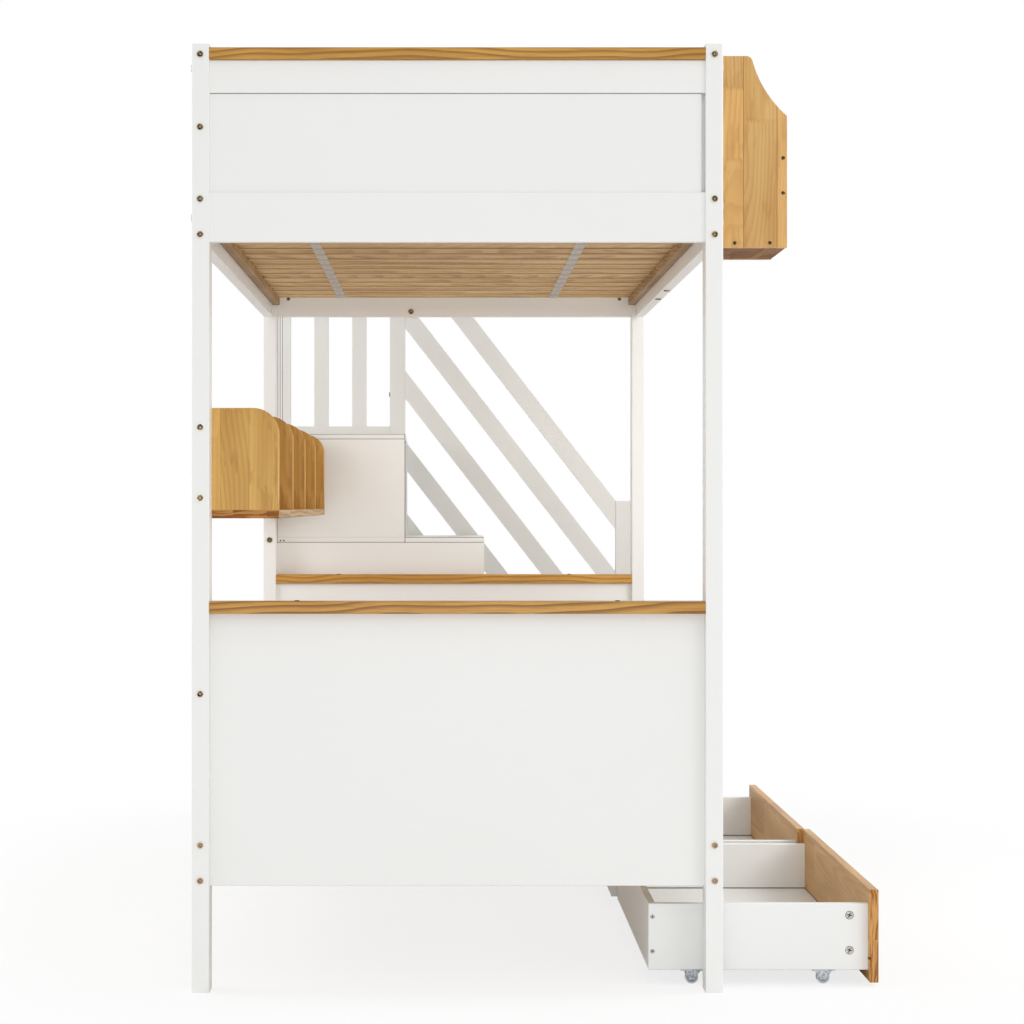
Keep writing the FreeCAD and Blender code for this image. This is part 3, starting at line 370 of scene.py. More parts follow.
# %% Pine by its growth rings
def pine(name, grain, across, stave=0.07, length=0.6, shift=0.0, first=0.0, gap=9.0,
         tones=SHELF_TONES, ring=0.0036, wave=0.012, contrast=0.7, coat=0.15, sheen=0.35, seam=0.55,
         joints=(), seed=3.0, figure=0.0, edge=None, faces=()):
    """Pine whose grain runs along one axis, glued from staves side by side along another.

    Boards that repeat lie a gap apart from the first one along the third axis. Sawn faces have other
    streaks: each is an axis, a place on it and two colours. An edge with a painted highlight and
    painted shade lies at a share of each stave, and is given with the foot of the lowest board and the
    step between boards.
    """
    finish = Finish(name)
    place = dict(zip(AXES, finish.place()))
    depth_axis = next(axis for axis in AXES if axis not in (grain, across))
    run, side = place[grain], place[across]
    board_place = (place[depth_axis] - first) / gap + 0.25
    board = board_place.floor()
    depth = board_place.fraction() * gap - 0.25 * gap

    # Number the staves, find each one's lengths and draw three lots for every length.
    stave_place = (side + shift) / stave
    number = stave_place.floor()
    in_stave = stave_place.fraction()
    lot, joint_gap, tone = stave_ends(finish, number, run, side, length, joints, seed)
    colour = finish.chance(number + board * 17.0, lot, seed, output="Color")
    luck = [finish.node("SeparateXYZ", None, {0: colour}, axis) for axis in range(3)]
    tree = lot + number * 1.7 + board
    phase = growth_rings(finish, (in_stave - 0.5) * stave, run, depth, luck, tree, ring, wave)

    # Fine fibres, soft clouds, coarser patches and now and then a knot.
    stretch = {grain: 20.0, across: 800.0, depth_axis: 800.0}
    fibres = finish.noise(finish.vector(*[place[axis] * stretch[axis] for axis in AXES]), roughness=0.6)
    streaks = finish.noise(finish.vector(run * 4.0, side * 130.0, depth * 130.0 + lot), detail=1.0)
    cloud = finish.noise(finish.vector(run * 3.0, side * 16.0, lot + number * 2.3), detail=1.0)
    patches = finish.vector(run * 9.0, side * 42.0, lot * 2.1 + number)
    patch = finish.noise(patches, detail=3.0, roughness=0.6)
    knot = knots(finish, run, side, number)

    # Early wood, then everything that darkens it.
    pale, middle, brown = [rgb(*tone_of) for tone_of in tones]
    late = phase.rise(0.3, 0.9) * (1.0 - phase.rise(0.93, 1.0))
    wood = finish.mix(cloud.rise(0.3, 0.7), pale, middle)
    wood = finish.mix(late * (0.3 + 0.5 * luck[0]) * contrast, wood, brown)
    wood = finish.mix((fibres - 0.46).larger(0.0) * 1.3 * contrast, wood, brown)
    wood = finish.mix(streaks.rise(0.52, 0.78) * 0.25 * contrast, wood, brown)
    wood = finish.mix(knot * 0.8, wood, rgb(*KNOT))
    wood = finish.shade(tone, wood)

    # The glue lines between staves and lengths, then the patches and whatever is sawn.
    seam_line = 1.0 - (in_stave.smaller(1.0 - in_stave) * stave).rise(0.0, SEAM_WIDTH)
    line = seam_line.larger((1.0 - joint_gap.rise(0.0, JOINT_WIDTH)) * 0.6)
    wood = finish.mix(line * seam, wood, brown)
    wood = finish.mix(patch.rise(0.53, 0.62) * figure, wood, brown)
    if faces:
        bands = finish.vector(place[depth_axis] * 200.0 + cloud * 4.0, side * 12.0, lot)
        wood = sawn_faces(finish, wood, place, finish.noise(bands).rise(0.44, 0.6), faces)
    # Beside the edge: a painted highlight at each board's foot and painted shade above it.
    if edge:
        share, foot, step = edge
        beside = 1.0 - ((in_stave - share).size() * stave).rise(0.0008, 0.002)
        wood = lit_and_shaded_edges(finish, wood, beside, place[depth_axis], tones[0], foot, step)

    rough = 0.42 + (fibres - 0.5) * 0.18 + late * 0.05
    inputs = {"Base Color": wood, "Roughness": rough, "Specular IOR Level": sheen, "Coat Weight": coat,
              "Coat Roughness": 0.3}
    return finish.surface(inputs, fibres * 0.5 - late * 0.35 - line, strength=0.16, depth=0.0004)


# %% [markdown]
# ## One pine for each kind of board
# The same formula serves every board, with its own direction, stave width and tone. The measures of
# the shelves' staves and joints are those of the real boards, so seams fall where they should. Raw
# boards, such as the slats, have no coat and hardly any sheen.

# %% Boards that repeat
cap_low, cap_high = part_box("lower_end_caps")
upper_cap_low, upper_cap_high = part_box("upper_near_cap")
LOWER_CAP = (cap_low.z + cap_high.z) / 2
CAP_STEP = (upper_cap_low.z + upper_cap_high.z) / 2 - LOWER_CAP
DIVIDER_GAP = 0.46375
OUTER_SIDE_GAP = 0.24
SLAT_PITCH = 0.11973
FIRST_SLAT, SLAT_WIDTH = 62.0, 70.0
SLAT_FEET = (1550.0, 261.0)
# Where the slats' front faces take a painted highlight at the foot and painted shade above it.
slat_edge_shading = (0.209, SLAT_FEET[1] / 1000 - 0.0001, (SLAT_FEET[0] - SLAT_FEET[1]) / 1000)
print("caps", round(CAP_STEP, 3), "m apart, slats", SLAT_PITCH, "m apart")

# %% Pines of the caps, fronts and slats
front_ends = [("y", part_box(f"{end}_drawer_front")[0].y, (204, 150, 80), (146, 90, 38))
              for end in ("near", "far")]
PINE_CAP = pine("pine_cap", "x", "y", stave=0.5, length=40.0, first=LOWER_CAP, gap=CAP_STEP,
                tones=CAP_TONES, ring=0.007, wave=0.05, contrast=1.1, seam=0.0, seed=13.0)
PINE_FRONT = pine("pine_front", "y", "z", stave=0.094, length=0.8, first=0.66, tones=FRONT_TONES,
                  ring=0.006, contrast=0.4, seam=0.1, seed=5.0, figure=0.08, faces=front_ends)
PINE_SLAT = pine("pine_slat", "x", "y", stave=SLAT_PITCH, shift=0.025 - END_FACE - FIRST_SLAT / 1000,
                 length=5.0, tones=SLAT_TONES, ring=0.003, wave=0.004, contrast=0.6, coat=0.0,
                 sheen=0.05, seam=0.0, seed=2.0, edge=slat_edge_shading)
PINE_LEDGER = pine("pine_ledger", "y", "z", stave=0.5, length=5.0, tones=LEDGER_TONES, coat=0.0,
                   sheen=0.05)
print(PINE_CAP.name, PINE_FRONT.name, PINE_SLAT.name, PINE_LEDGER.name)

# %% Pines of the wall shelf
base_low, base_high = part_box("wall_shelf_bottom")
base_faces = (("x", base_high.x, (198, 170, 132), (166, 136, 100)),
              ("y", base_low.y, (186, 132, 80), (138, 90, 50)))
PINE_BACK_LONG = pine("pine_back_long", "y", "z", stave=0.075, length=0.7, ring=0.005, wave=0.03,
                      contrast=0.35, figure=0.15)
PINE_BASE = pine("pine_base", "y", "x", stave=0.068, length=0.7, coat=0.0, sheen=0.02, faces=base_faces)
PINE_DIVIDER = pine("pine_divider", "z", "x", stave=0.058, length=0.42, first=base_low.y,
                    gap=DIVIDER_GAP, tones=DIVIDER_TONES, ring=0.011, wave=0.09, contrast=0.35,
                    seam=0.3, seed=7.0, figure=0.4)
print(PINE_BACK_LONG.name, PINE_BASE.name, PINE_DIVIDER.name)

# %% Pines of the outer shelf
# Each length of a stave: the stave's number, the height where it starts, in metres, and its tone.
OUTER_JOINTS = ((6, 0.0, 1.03), (6, 1.675, 1.08), (6, 1.8205, 0.93), (7, 0.0, 0.93), (7, 1.754, 0.98),
                (8, 0.0, 1.10))
outer_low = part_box("outer_shelf_sides")[0]
PINE_OUTER = pine("pine_outer", "z", "x", stave=0.068, shift=0.05625, first=outer_low.y,
                  gap=OUTER_SIDE_GAP, tones=OUTER_TONES, ring=0.006, wave=0.05, contrast=0.32,
                  seam=0.9, joints=OUTER_JOINTS, seed=4.0, figure=0.22)
# The outer shelf's bottom is the same pine as the wall shelf's bottom, in darker tones as painted shade.
PINE_UNDER_SHADED = pine("pine_under_shaded", "y", "x", stave=0.068, length=0.7, tones=SHADED_UNDER_TONES, coat=0.0,
                  sheen=0.02)
PINE_OUTER_BACK = pine("pine_outer_back", "z", "y", stave=0.06, length=0.4)
PINE_LIP = pine("pine_lip", "y", "z", stave=0.08, length=0.6)
print("pines:", len([name for name in bpy.data.materials.keys() if "pine" in name]))


# %% [markdown]
# ## Plated steel
# The bolts are zinc plated with a yellow passivation, which comes out blotchy: brass here, olive and
# brown there. A head gets painted shade about its socket, and painted highlights at its rounded rim
# and on the socket's floor. The casters are pressed and plain zinc. A piece can mark its hollows and
# rims with an attribute, and the metal is painted darker there, as shade. The bolt heads are found on
# the solids: points of the bolts that stand proud of a post's face fall into clumps, one for each
# head, and the finish measures how far each point lies from the nearest middle.

# %% Find the bolt heads
HEAD_REACH = 0.0153
PROUD = 0.0003


def proud_heads(outward, level):
    """The middles of the bolt heads that stand out past a level, in metres.

    All points within a head's width of the first one left are one head, until none is left.
    """
    mesh = nodes["frame_bolts"].data
    points = np.empty(len(mesh.vertices) * 3)
    mesh.vertices.foreach_get("co", points)
    points = points.reshape(-1, 3)
    outward = np.array(outward, float)
    points = points[points @ outward > level + PROUD]
    middles = []
    while len(points):
        mine = np.linalg.norm(points - points[0], axis=1) < HEAD_REACH
        middle = (points[mine].min(axis=0) + points[mine].max(axis=0)) / 2
        middles.append(middle - (middle @ outward - level) * outward)
        points = points[~mine]
    return middles


FACES = (((0, -1, 0), -END_FACE), ((1, 0, 0), CENTRE + HALF_WIDTH), ((-1, 0, 0), HALF_WIDTH - CENTRE))
BOLT_HEADS = [middle for outward, level in FACES for middle in proud_heads(outward, level)]
print(len(BOLT_HEADS), "bolt heads on the posts")


# %% Metals of the fittings
# The colour of the painted shade in the marked hollows and rims of screws.
PAINTED_SHADE = (44, 36, 30)


def heads_with_painted_light(finish, tint, place, height):
    """A metal's colour with painted shade about the bolt heads' sockets, and painted highlights on their
    rims and sockets' floors.

    Each mark is a band of distances from the nearest head's middle, in metres, and heads less than
    about 0.35 m above the floor are paler.
    """
    nearest = 1.0
    for middle in BOLT_HEADS:
        away = finish.node("VectorMath", {"operation": "DISTANCE"}, {0: place, 1: middle}, "Value")
        nearest = away.smaller(nearest)
    # Painted shade about each socket, painted highlights on each rim and on each socket's floor.
    socket_floor_highlight = 1.0 - nearest.rise(0.0012, 0.0017)
    socket = 1.0 - nearest.rise(0.0036, 0.0044)
    rim = nearest.rise(0.0061, 0.0071) * (1.0 - nearest.rise(0.0085, 0.009))
    tint = finish.mix((1.0 - height.rise(0.3, 0.4)) * 0.4, tint, rgb(206, 172, 150))
    tint = finish.mix(socket * 0.6, tint, rgb(34, 28, 18))
    return finish.mix(rim.larger(socket_floor_highlight) * 0.7, tint, rgb(236, 230, 216))


def blotched_metal(name, light, dark, scale, rough, metal=0.9, heads=False):
    """Plating whose colour wanders between two metals, with painted shade where a piece marks it."""
    finish = Finish(name)
    x, y, z = finish.place()
    place = finish.vector(x, y, z)
    blotch = finish.noise(place, scale=scale, detail=3.0, roughness=0.65).rise(0.38, 0.62)
    scratch = finish.noise(place, scale=scale * 9.0, detail=2.0)
    painted_shade = finish.node("Attribute", {"attribute_name": "painted_shade"}, output="Fac")
    tint = finish.mix(blotch, rgb(*light), rgb(*dark))
    # Painted shade where the piece marks it: in the screws' crosses and round their rims.
    tint = finish.mix(painted_shade * 0.9, tint, rgb(*PAINTED_SHADE))
    if heads:
        tint = heads_with_painted_light(finish, tint, place, z)
    rough = rough + painted_shade * 0.3 + (scratch - 0.5) * 0.25
    inputs = {"Base Color": tint, "Metallic": metal, "Roughness": rough}
    return finish.surface(inputs, scratch, strength=0.2, depth=0.0001)


BRASSY = blotched_metal("yellow_zinc", (146, 128, 94), (40, 32, 22), 210.0, 0.36, heads=True)
DARK_SCREW = blotched_metal("dark_screw", (150, 120, 80), (46, 36, 28), 260.0, 0.4)
SCREW_ZINC = blotched_metal("screw_zinc", (216, 214, 208), (172, 168, 160), 300.0, 0.34)
CASTER_STEEL = blotched_metal("caster_steel", (204, 208, 214), (148, 153, 160), 160.0, 0.3, metal=0.7)
print("metals:", BRASSY.name, DARK_SCREW.name, SCREW_ZINC.name, CASTER_STEEL.name)


# %% [markdown]
# ## Caster wheel
# The wheels are cast from a cloudy grey plastic. A darker ring lies between hub and tread, so each
# wheel gets a finish of its own, measured from its own axle.

# %% Cloudy grey plastic
def cloudy_plastic(name):
    """A grey plastic with faint flow marks, darker in a ring between hub and tread.

    The ring is a band of distances from the wheel's axle, as a share of its radius.
    """
    finish = Finish(f"{name}_plastic")
    x, y, z = finish.place()
    low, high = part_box(name)
    across, up = x - (low.x + high.x) / 2, z - (low.z + high.z) / 2
    share = (across * across + up * up).root() / ((high.z - low.z) / 2)
    ring = share.rise(0.3, 0.38) * (1.0 - share.rise(0.58, 0.68))
    flow = finish.noise(finish.vector(x, y, z), scale=90.0, detail=3.0)
    tint = finish.mix(flow, rgb(190, 194, 198), rgb(220, 223, 226))
    tint = finish.mix(ring * 0.8, tint, rgb(104, 110, 116))
    inputs = {"Base Color": tint, "Roughness": 0.32 + flow * 0.15}
    return finish.surface(inputs, flow, strength=0.1, depth=0.0002)


# %% [markdown]
# ## Dress the solids
# Every solid keeps its mesh and gets the finish of its own wood, with the grain along the piece.

# %% One finish for each node
FINISHES = {
    "post_near_left": PAINT["z"], "post_near_right": PAINT["z"],
    "post_far_left": PAINT["z"], "post_far_right": PAINT["z"], "guard_stiles": PAINT["z"],
    "upper_near_top_rail": PAINT["x"], "upper_near_panel": PAINT["x"],
    "upper_near_bottom_rail": PAINT["x"], "upper_far_top_rail": PAINT["x"],
    "upper_far_panel": PAINT["x"], "upper_far_bottom_rail": PAINT["x"], "lower_end_panels": PAINT["x"],
    "upper_side_rails": PAINT["y"], "lower_side_rails": PAINT["y"], "top_guard_rails": PAINT["y"],
    "middle_guard_rails": PAINT["y"], "lower_guard_rail": PAINT["y"],
    "railing_posts": SHADED_RAILING_PAINT["z"], "railing_slats": SHADED_RAILING_PAINT["z"],
    "railing_rails": SHADED_RAILING_PAINT["x"], "railing_diagonals": SHADED_RAILING_PAINT["x"],
    "upper_near_cap": PINE_CAP, "upper_far_cap": PINE_CAP, "lower_end_caps": PINE_CAP,
    "wall_shelf_back": PINE_BACK_LONG, "wall_shelf_bottom": PINE_BASE, "wall_shelf_dividers": PINE_DIVIDER,
    "outer_shelf_sides": PINE_OUTER, "outer_shelf_bottom": PINE_UNDER_SHADED, "outer_shelf_lip": PINE_LIP,
    "outer_shelf_back": PINE_OUTER_BACK, "near_drawer_front": PINE_FRONT, "far_drawer_front": PINE_FRONT,
    "bed_slats": PINE_SLAT, "slat_ledgers": PINE_LEDGER,
    # The barrel nuts take the dark screws' metal, which paints in the shade they sit in.
    "frame_bolts": BRASSY, "barrel_nuts": DARK_SCREW,
}


def finish_of(node):
    """The finish of a node: its own, or that of its kind."""
    if node in FINISHES:
        return FINISHES[node]
    if "casters" in node:
        return CASTER_STEEL
    if "wheel" in node:
        return cloudy_plastic(node)
    return BOARD


for name, node in nodes.items():
    for slot in node.material_slots:
        slot.material = finish_of(name)
print("bare nodes:", [name for name, node in nodes.items() if not node.material_slots])


# %% [markdown]
# ## Surfaces from two parameters
# The small pieces are surfaces: a point's place is a formula of two numbers, such as how far along a
# profile it lies and how far round an axis. The formula is worked out for a whole grid at once with
# numpy, which gives the vertices, and neighbours on the grid are joined into faces.

# %% From grids to pieces
MERGE_DISTANCE = 1e-6


def grid_faces(rows, columns):
    """Faces between neighbours of a grid whose columns close into a ring."""
    row, column = np.meshgrid(np.arange(rows - 1), np.arange(columns), indexing="ij")
    beside = (column + 1) % columns
    corners = [row * columns + column, row * columns + beside,
               (row + 1) * columns + beside, (row + 1) * columns + column]
    return np.stack(corners, axis=-1).reshape(-1, 4)


def make_piece(name, grids, finish, body, smooth=30.0):
    """Join ringed grids into one piece, close their poles and turn every face outwards.

    A grid's points are three numbers, or four where the last one marks painted shade.
    """
    points, faces, painted_shade, count = [], [], [], 0
    for grid in grids:
        rows, columns = grid.shape[:2]
        points.append(grid[..., :3].reshape(-1, 3))
        painted_shade.append(grid[..., 3].ravel() if grid.shape[-1] == 4 else np.zeros(rows * columns))
        faces.append(grid_faces(rows, columns) + count)
        count += rows * columns
    mesh = bpy.data.meshes.new(name)
    mesh.from_pydata(np.concatenate(points).tolist(), [], np.concatenate(faces).tolist())
    mesh.attributes.new("painted_shade", "FLOAT", "POINT").data.foreach_set("value", np.concatenate(painted_shade))
    shape = bmesh.new()
    shape.from_mesh(mesh)
    bmesh.ops.remove_doubles(shape, verts=shape.verts, dist=MERGE_DISTANCE)
    bmesh.ops.recalc_face_normals(shape, faces=shape.faces)
    shape.to_mesh(mesh)
    shape.free()
    mesh.shade_smooth()
    mesh.set_sharp_from_angle(angle=math.radians(smooth))
    mesh.materials.append(finish)
    piece = bpy.data.objects.new(name, mesh)
    bpy.context.scene.collection.objects.link(piece)
    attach(piece, body)
    print(name, len(mesh.vertices), "points")
    return piece


# %% [markdown]
# ## Screws and cam locks
# Countersunk screws hold the caps and the outer shelf, and each drawer's sides are drawn to its front
# by cam locks, turned with a screwdriver. A head is a profile turned about an axis. Its cross is part
# of the same formula: points near either of two lines through the middle are sunk.

# %% A head with a cross in it
UP, NEARWARD, FARWARD, LEFTWARD = (0, 0, 1), (0, -1, 0), (0, 1, 0), (-1, 0, 0)
DOME = np.linspace(0, 0.92, 15)
SOFT_EDGE = 0.03


def head(centre, outward, width, rise=0.8, arm=0.16, reach=0.6, bite=0.7):
    """A screw's head on a surface, in millimetres, as a ringed grid of points.

    The profile runs from the middle of the top, which domes by a quarter of the rise, over a rounded
    rim to the middle of the back. The sunk cross spans a share of the width, as do its arms, and its
    bite is a share of the rise, so that its floor stays above the board.
    """
    radius = np.concatenate([DOME, [0.97, 1.0, 1.0, 0.0]]) * width / 2
    height = np.concatenate([1 - 0.25 * DOME ** 2, [0.62, 0.3, -0.5, -0.5]]) * rise
    turn = np.linspace(0, 2 * np.pi, 56, endpoint=False) + 0.35
    across = radius[:, None] * np.cos(turn)
    along = radius[:, None] * np.sin(turn)
    to_line = np.minimum(np.abs(across), np.abs(along))
    edge = width * SOFT_EDGE
    cross = np.clip((arm * width / 2 - to_line) / edge + 0.5, 0, 1)
    cross = cross * np.clip((reach * width / 2 - np.hypot(across, along)) / edge + 0.5, 0, 1)
    out = height[:, None] - cross * bite * rise * (radius[:, None] < 0.9 * width / 2)
    out[-2:] = height[-2:, None]

    # Two directions across the head, square to its axis and to each other.
    outward = np.array(outward, float)
    first = np.cross(outward, (0.31, 0.17, 0.93) if abs(outward[2]) < 0.5 else (0.0, 1.0, 0.0))
    first = first / np.linalg.norm(first)
    second = np.cross(outward, first)
    grid = across[..., None] * first + along[..., None] * second + out[..., None] * outward
    place = grid / 1000 + np.array(spot(*centre))
    # The fourth number marks painted shade: in the sunk cross and round the head's rim.
    rim = np.clip((radius / (width / 2) - 0.84) / 0.1, 0, 1)[:, None]
    return np.concatenate([place, np.maximum(cross, rim)[..., None]], axis=-1)


# %% Where the caps' screws sit
CAP_SCREW_REACH = 322
upper_top = measure("upper_near_cap")[1][2]
lower_top = measure("lower_end_caps")[1][2]
CAP_SCREWS = [(x, y, z) for x in (-CAP_SCREW_REACH, CAP_SCREW_REACH)
              for y, z in ((18, upper_top), (38, lower_top), (1952, lower_top))]
CAP_SCREWS.append((CAP_SCREW_REACH, 1952, upper_top))
cap_heads = [head(place, UP, 10, rise=1.8) for place in CAP_SCREWS]
make_piece("cap_screws", cap_heads, DARK_SCREW, "frame")

# %% Where the shelf's and the stairs' screws sit
# Across and up, in millimetres, on both of the shelf's sides.
SHELF_SCREWS = [(561, 1503), (632, 1503), (659, 1675), (659, 1604)]
shelf_low, shelf_high = measure("outer_shelf_sides")
shelf_heads = [head((x, y, z), way, 7.5, rise=1.0)
               for y, way in ((shelf_low[1], NEARWARD), (shelf_high[1], FARWARD)) for x, z in SHELF_SCREWS]
make_piece("shelf_screws", shelf_heads, DARK_SCREW, "frame")

stair_face = measure("stair_treads")[0][1]
tread_heads = [head((x, stair_face, 874), NEARWARD, 4.5, rise=0.5) for x in (-486, -477)]
make_piece("tread_screws", tread_heads, DARK_SCREW, "frame")

railing_low, railing_high = measure("railing_posts")
bolt_place = (measure("railing_rails")[1][0], (railing_low[1] + railing_high[1]) / 2, 1303.5)
railing_head = head(bolt_place, LEFTWARD, 15, rise=2.5, arm=0.3, reach=0.35, bite=0.6)
make_piece("railing_bolt", [railing_head], DARK_SCREW, "frame")

# %% The drawers' cam locks and screws
CAM_INSET, SCREW_INSET = 37.4, 8


def drawer_heads(drawer):
    """The cam locks and screws of one drawer, on both of its sides."""
    low, high = measure(f"{drawer}_sides")
    sides = ((low[1], NEARWARD), (high[1], FARWARD))
    cams = [head((high[0] - CAM_INSET, y, z), way, 17, rise=0.9, arm=0.13, reach=0.55)
            for y, way in sides for z in (141, 70)]
    screws = [head((low[0] + SCREW_INSET, y, z), way, 9, rise=0.9, arm=0.18, reach=0.6)
              for y, way in sides for z in (138, 68)]
    return cams + screws


for drawer in ("near_drawer", "far_drawer"):
    make_piece(f"{drawer}_fittings", drawer_heads(drawer), SCREW_ZINC, drawer)


# %% [markdown]
# ## Webbing under the slats
# Two woven tapes tie each row of slats, so that the slats keep their spacing and can be rolled up. A
# tape is taut on each slat and hangs a little between two. It is a flat section carried along the
# bed: the sag is a sine squared over each gap and nothing on the slats.

# %% The straps
slats_low, slats_high = measure("bed_slats")
tape_low, tape_high = measure("slat_tapes")
TAPE_WIDTH, TAPE_THICK, TAPE_SAG = 24.0, 1.0, 1.6
TAPE_GAP = 0.05
TAPE_CENTRES = (tape_low[0] + TAPE_WIDTH / 2, tape_high[0] - TAPE_WIDTH / 2)
PITCH = SLAT_PITCH * 1000


def strap(centre, top):
    """A flat rounded section, carried along the bed and let down between the slats."""
    along = np.linspace(slats_low[1], slats_high[1], 361)
    in_gap = np.clip(((along - slats_low[1]) % PITCH - SLAT_WIDTH) / (PITCH - SLAT_WIDTH), 0, 1)
    sag = TAPE_SAG * np.sin(np.pi * in_gap) ** 2
    turn = np.linspace(0, 2 * np.pi, 20, endpoint=False)
    across = np.sign(np.cos(turn)) * np.abs(np.cos(turn)) ** 0.35 * TAPE_WIDTH / 2
    thick = np.sign(np.sin(turn)) * np.abs(np.sin(turn)) ** 0.7 * TAPE_THICK / 2
    shrink = np.ones(len(along))
    shrink[[0, -1]] = 0.0
    x = CENTRE + (centre + across[None, :] * shrink[:, None]) / 1000
    y = np.broadcast_to(END_FACE + along[:, None] / 1000, x.shape)
    z = (top - TAPE_THICK / 2 - sag[:, None] + thick[None, :] * shrink[:, None]) / 1000
    return np.stack([x, y, z], axis=-1)


def webbing(name):
    """A plain weave: threads over and under each other, in two directions.

    The weave is the product of two sines, with painted shade where the strap crosses from slat to slat.
    """
    finish = Finish(name)
    x, y, z = finish.place()
    warp = (x * (math.pi / 0.0011)).maths("SINE")
    weft = (y * (math.pi / 0.0016)).maths("SINE")
    weave = warp * weft * 0.5 + 0.5
    rib = (y / 0.006).fraction().rise(0.0, 0.5)
    soil = finish.noise(finish.vector(x, y, z), scale=30.0)
    light = finish.mix(soil, rgb(216, 209, 201), rgb(198, 190, 181))
    in_pitch = ((y - END_FACE - FIRST_SLAT / 1000) / SLAT_PITCH).fraction()
    from_slat = (in_pitch - SLAT_WIDTH / 2 / PITCH).size()
    # Painted shade over each gap between slats.
    in_gap = from_slat.rise(0.27, 0.31)
    cloth = finish.mix(weave * 0.35 + rib * 0.15 + in_gap * 0.3, light, rgb(142, 132, 122))
    inputs = {"Base Color": cloth, "Roughness": 0.82 + weave * 0.1, "Sheen Weight": 0.2}
    return finish.surface(inputs, weave, strength=0.5, depth=0.0004)


WEBBING = webbing("white_webbing")
straps = [strap(centre, foot - TAPE_GAP) for centre in TAPE_CENTRES for foot in SLAT_FEET]
tapes = make_piece("webbing_straps", straps, WEBBING, "frame", smooth=60.0)
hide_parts("slat_tapes")


# %% [markdown]
# ## Staples
# A staple holds the tape to every slat. It is a wire carried along three straight runs: down into the
# wood, across the tape and up again. One is worked out, then moved to every slat by adding places.

# %% One staple for each slat and tape
# The wire's radius, then half the crown, a leg and a bend, in millimetres. At each point of the path
# the wire leans by an angle in radians, from upright to level and on to upright again.
WIRE, CROWN, LEG, BEND = 0.6, 5.5, 3.0, 0.5
LEANS = (0.0, 0.0, 0.78, 1.57, 2.36, 3.14, 3.14)
SLATS = 16


def staple(centre, along, top):
    """A wire of 1.2 mm, whose ring of points follows a crown 11 mm wide and two short legs."""
    bend = CROWN - BEND
    path = np.array([(-CROWN, LEG), (-CROWN, BEND), (-bend, 0.0), (0.0, -0.1),
                     (bend, 0.0), (CROWN, BEND), (CROWN, LEG)])
    lean = np.array(LEANS)
    turn = np.linspace(0, 2 * np.pi, 8, endpoint=False)
    x = path[:, 0, None] - np.cos(lean)[:, None] * np.cos(turn) * WIRE
    z = path[:, 1, None] - np.sin(lean)[:, None] * np.cos(turn) * WIRE
    y = np.broadcast_to(np.sin(turn) * WIRE, x.shape)
    x, y, z = centre + x, along + y, top - TAPE_THICK - WIRE / 2 + z
    ring = np.stack([CENTRE + x / 1000, END_FACE + y / 1000, z / 1000], axis=-1)
    ends = ring.mean(axis=1, keepdims=True)
    return np.concatenate([np.repeat(ends[:1], 8, axis=1), ring, np.repeat(ends[-1:], 8, axis=1)])


slat_middles = slats_low[1] + SLAT_WIDTH / 2 + PITCH * np.arange(SLATS)
staples = [staple(centre, along, foot)
           for centre in TAPE_CENTRES for foot in SLAT_FEET for along in slat_middles]
make_piece("tape_staples", staples, SCREW_ZINC, "frame")


# %% [markdown]
# ## Joint lines
# Coated board is raw where it is sawn, and where two boards meet the gap lies in shade. A dark line a
# millimetre or two high, raw board and painted shade, shows wherever a drawer's bottom enters its
# groove, and a thin one where two boards of the stairs, the railing's post or the near end meet. Each
# line is a flat bar that stands a tenth or two of a millimetre proud of its board.

# %% Raw board and painted shade in thin bars
def bar(low, high):
    """A bar between two corners of a box, in millimetres, as a ringed grid.

    A squared ellipse, whose cosine and sine are raised to a small power, is carried along the
    longest side, and its first and last rings shrink to a point.
    """
    low, high = np.array(low, float), np.array(high, float)
    middle, half = (low + high) / 2, (high - low) / 2
    run = int(np.argmax(half))
    turn = (np.arange(12) + 0.5) * np.pi / 6
    ends, shrink = np.array([-1.0, -1.0, 1.0, 1.0]), np.array([0.0, 1.0, 1.0, 0.0])
    grid = np.zeros((4, 12, 3))
    grid[..., run] = (ends * half[run])[:, None]
    for axis, wave in zip([axis for axis in range(3) if axis != run], (np.cos(turn), np.sin(turn))):
        grid[..., axis] = shrink[:, None] * np.sign(wave) * np.abs(wave) ** 0.15 * half[axis]
    return (grid + middle) / 1000 + np.array(spot(0, 0, 0))


def raw_board_shade(name):
    """Sawn chipboard: grey and brown specks, as dark as painted shade in a gap."""
    finish = Finish(name)
    place = finish.vector(*finish.place())
    speck = finish.noise(place, scale=900.0, detail=2.0)
    tint = finish.mix(speck.rise(0.35, 0.65), rgb(104, 96, 87), rgb(66, 60, 54))
    return finish.surface({"Base Color": tint, "Roughness": 0.8 + (speck - 0.5) * 0.1}, speck)


RAW_BOARD_SHADE = raw_board_shade("raw_board_shade")
print("sawn board:", RAW_BOARD_SHADE.name)

# %% The drawers' groove lines
SIDE_BOARD = 15
LINE_PROUD, LINE_HEIGHT = 0.2, 2.2


def groove_lines(drawer):
    """The lines of painted shade round the inside of one drawer, just above its bottom."""
    side_low, side_high = measure(f"{drawer}_sides")
    near, far = side_low[1] + SIDE_BOARD, side_high[1] - SIDE_BOARD
    back, front = measure(f"{drawer}_back")[1][0], side_high[0]
    low = measure(f"{drawer}_bottom")[1][2]
    high = low + LINE_HEIGHT
    return [bar((back, near, low), (front, near + LINE_PROUD, high)),
            bar((back, far - LINE_PROUD, low), (front, far, high)),
            bar((back, near, low), (back + LINE_PROUD, far, high)),
            bar((front - LINE_PROUD, near, low), (front, far, high))]


for drawer in ("near_drawer", "far_drawer"):
    make_piece(f"{drawer}_groove_lines", groove_lines(drawer), RAW_BOARD_SHADE, drawer)

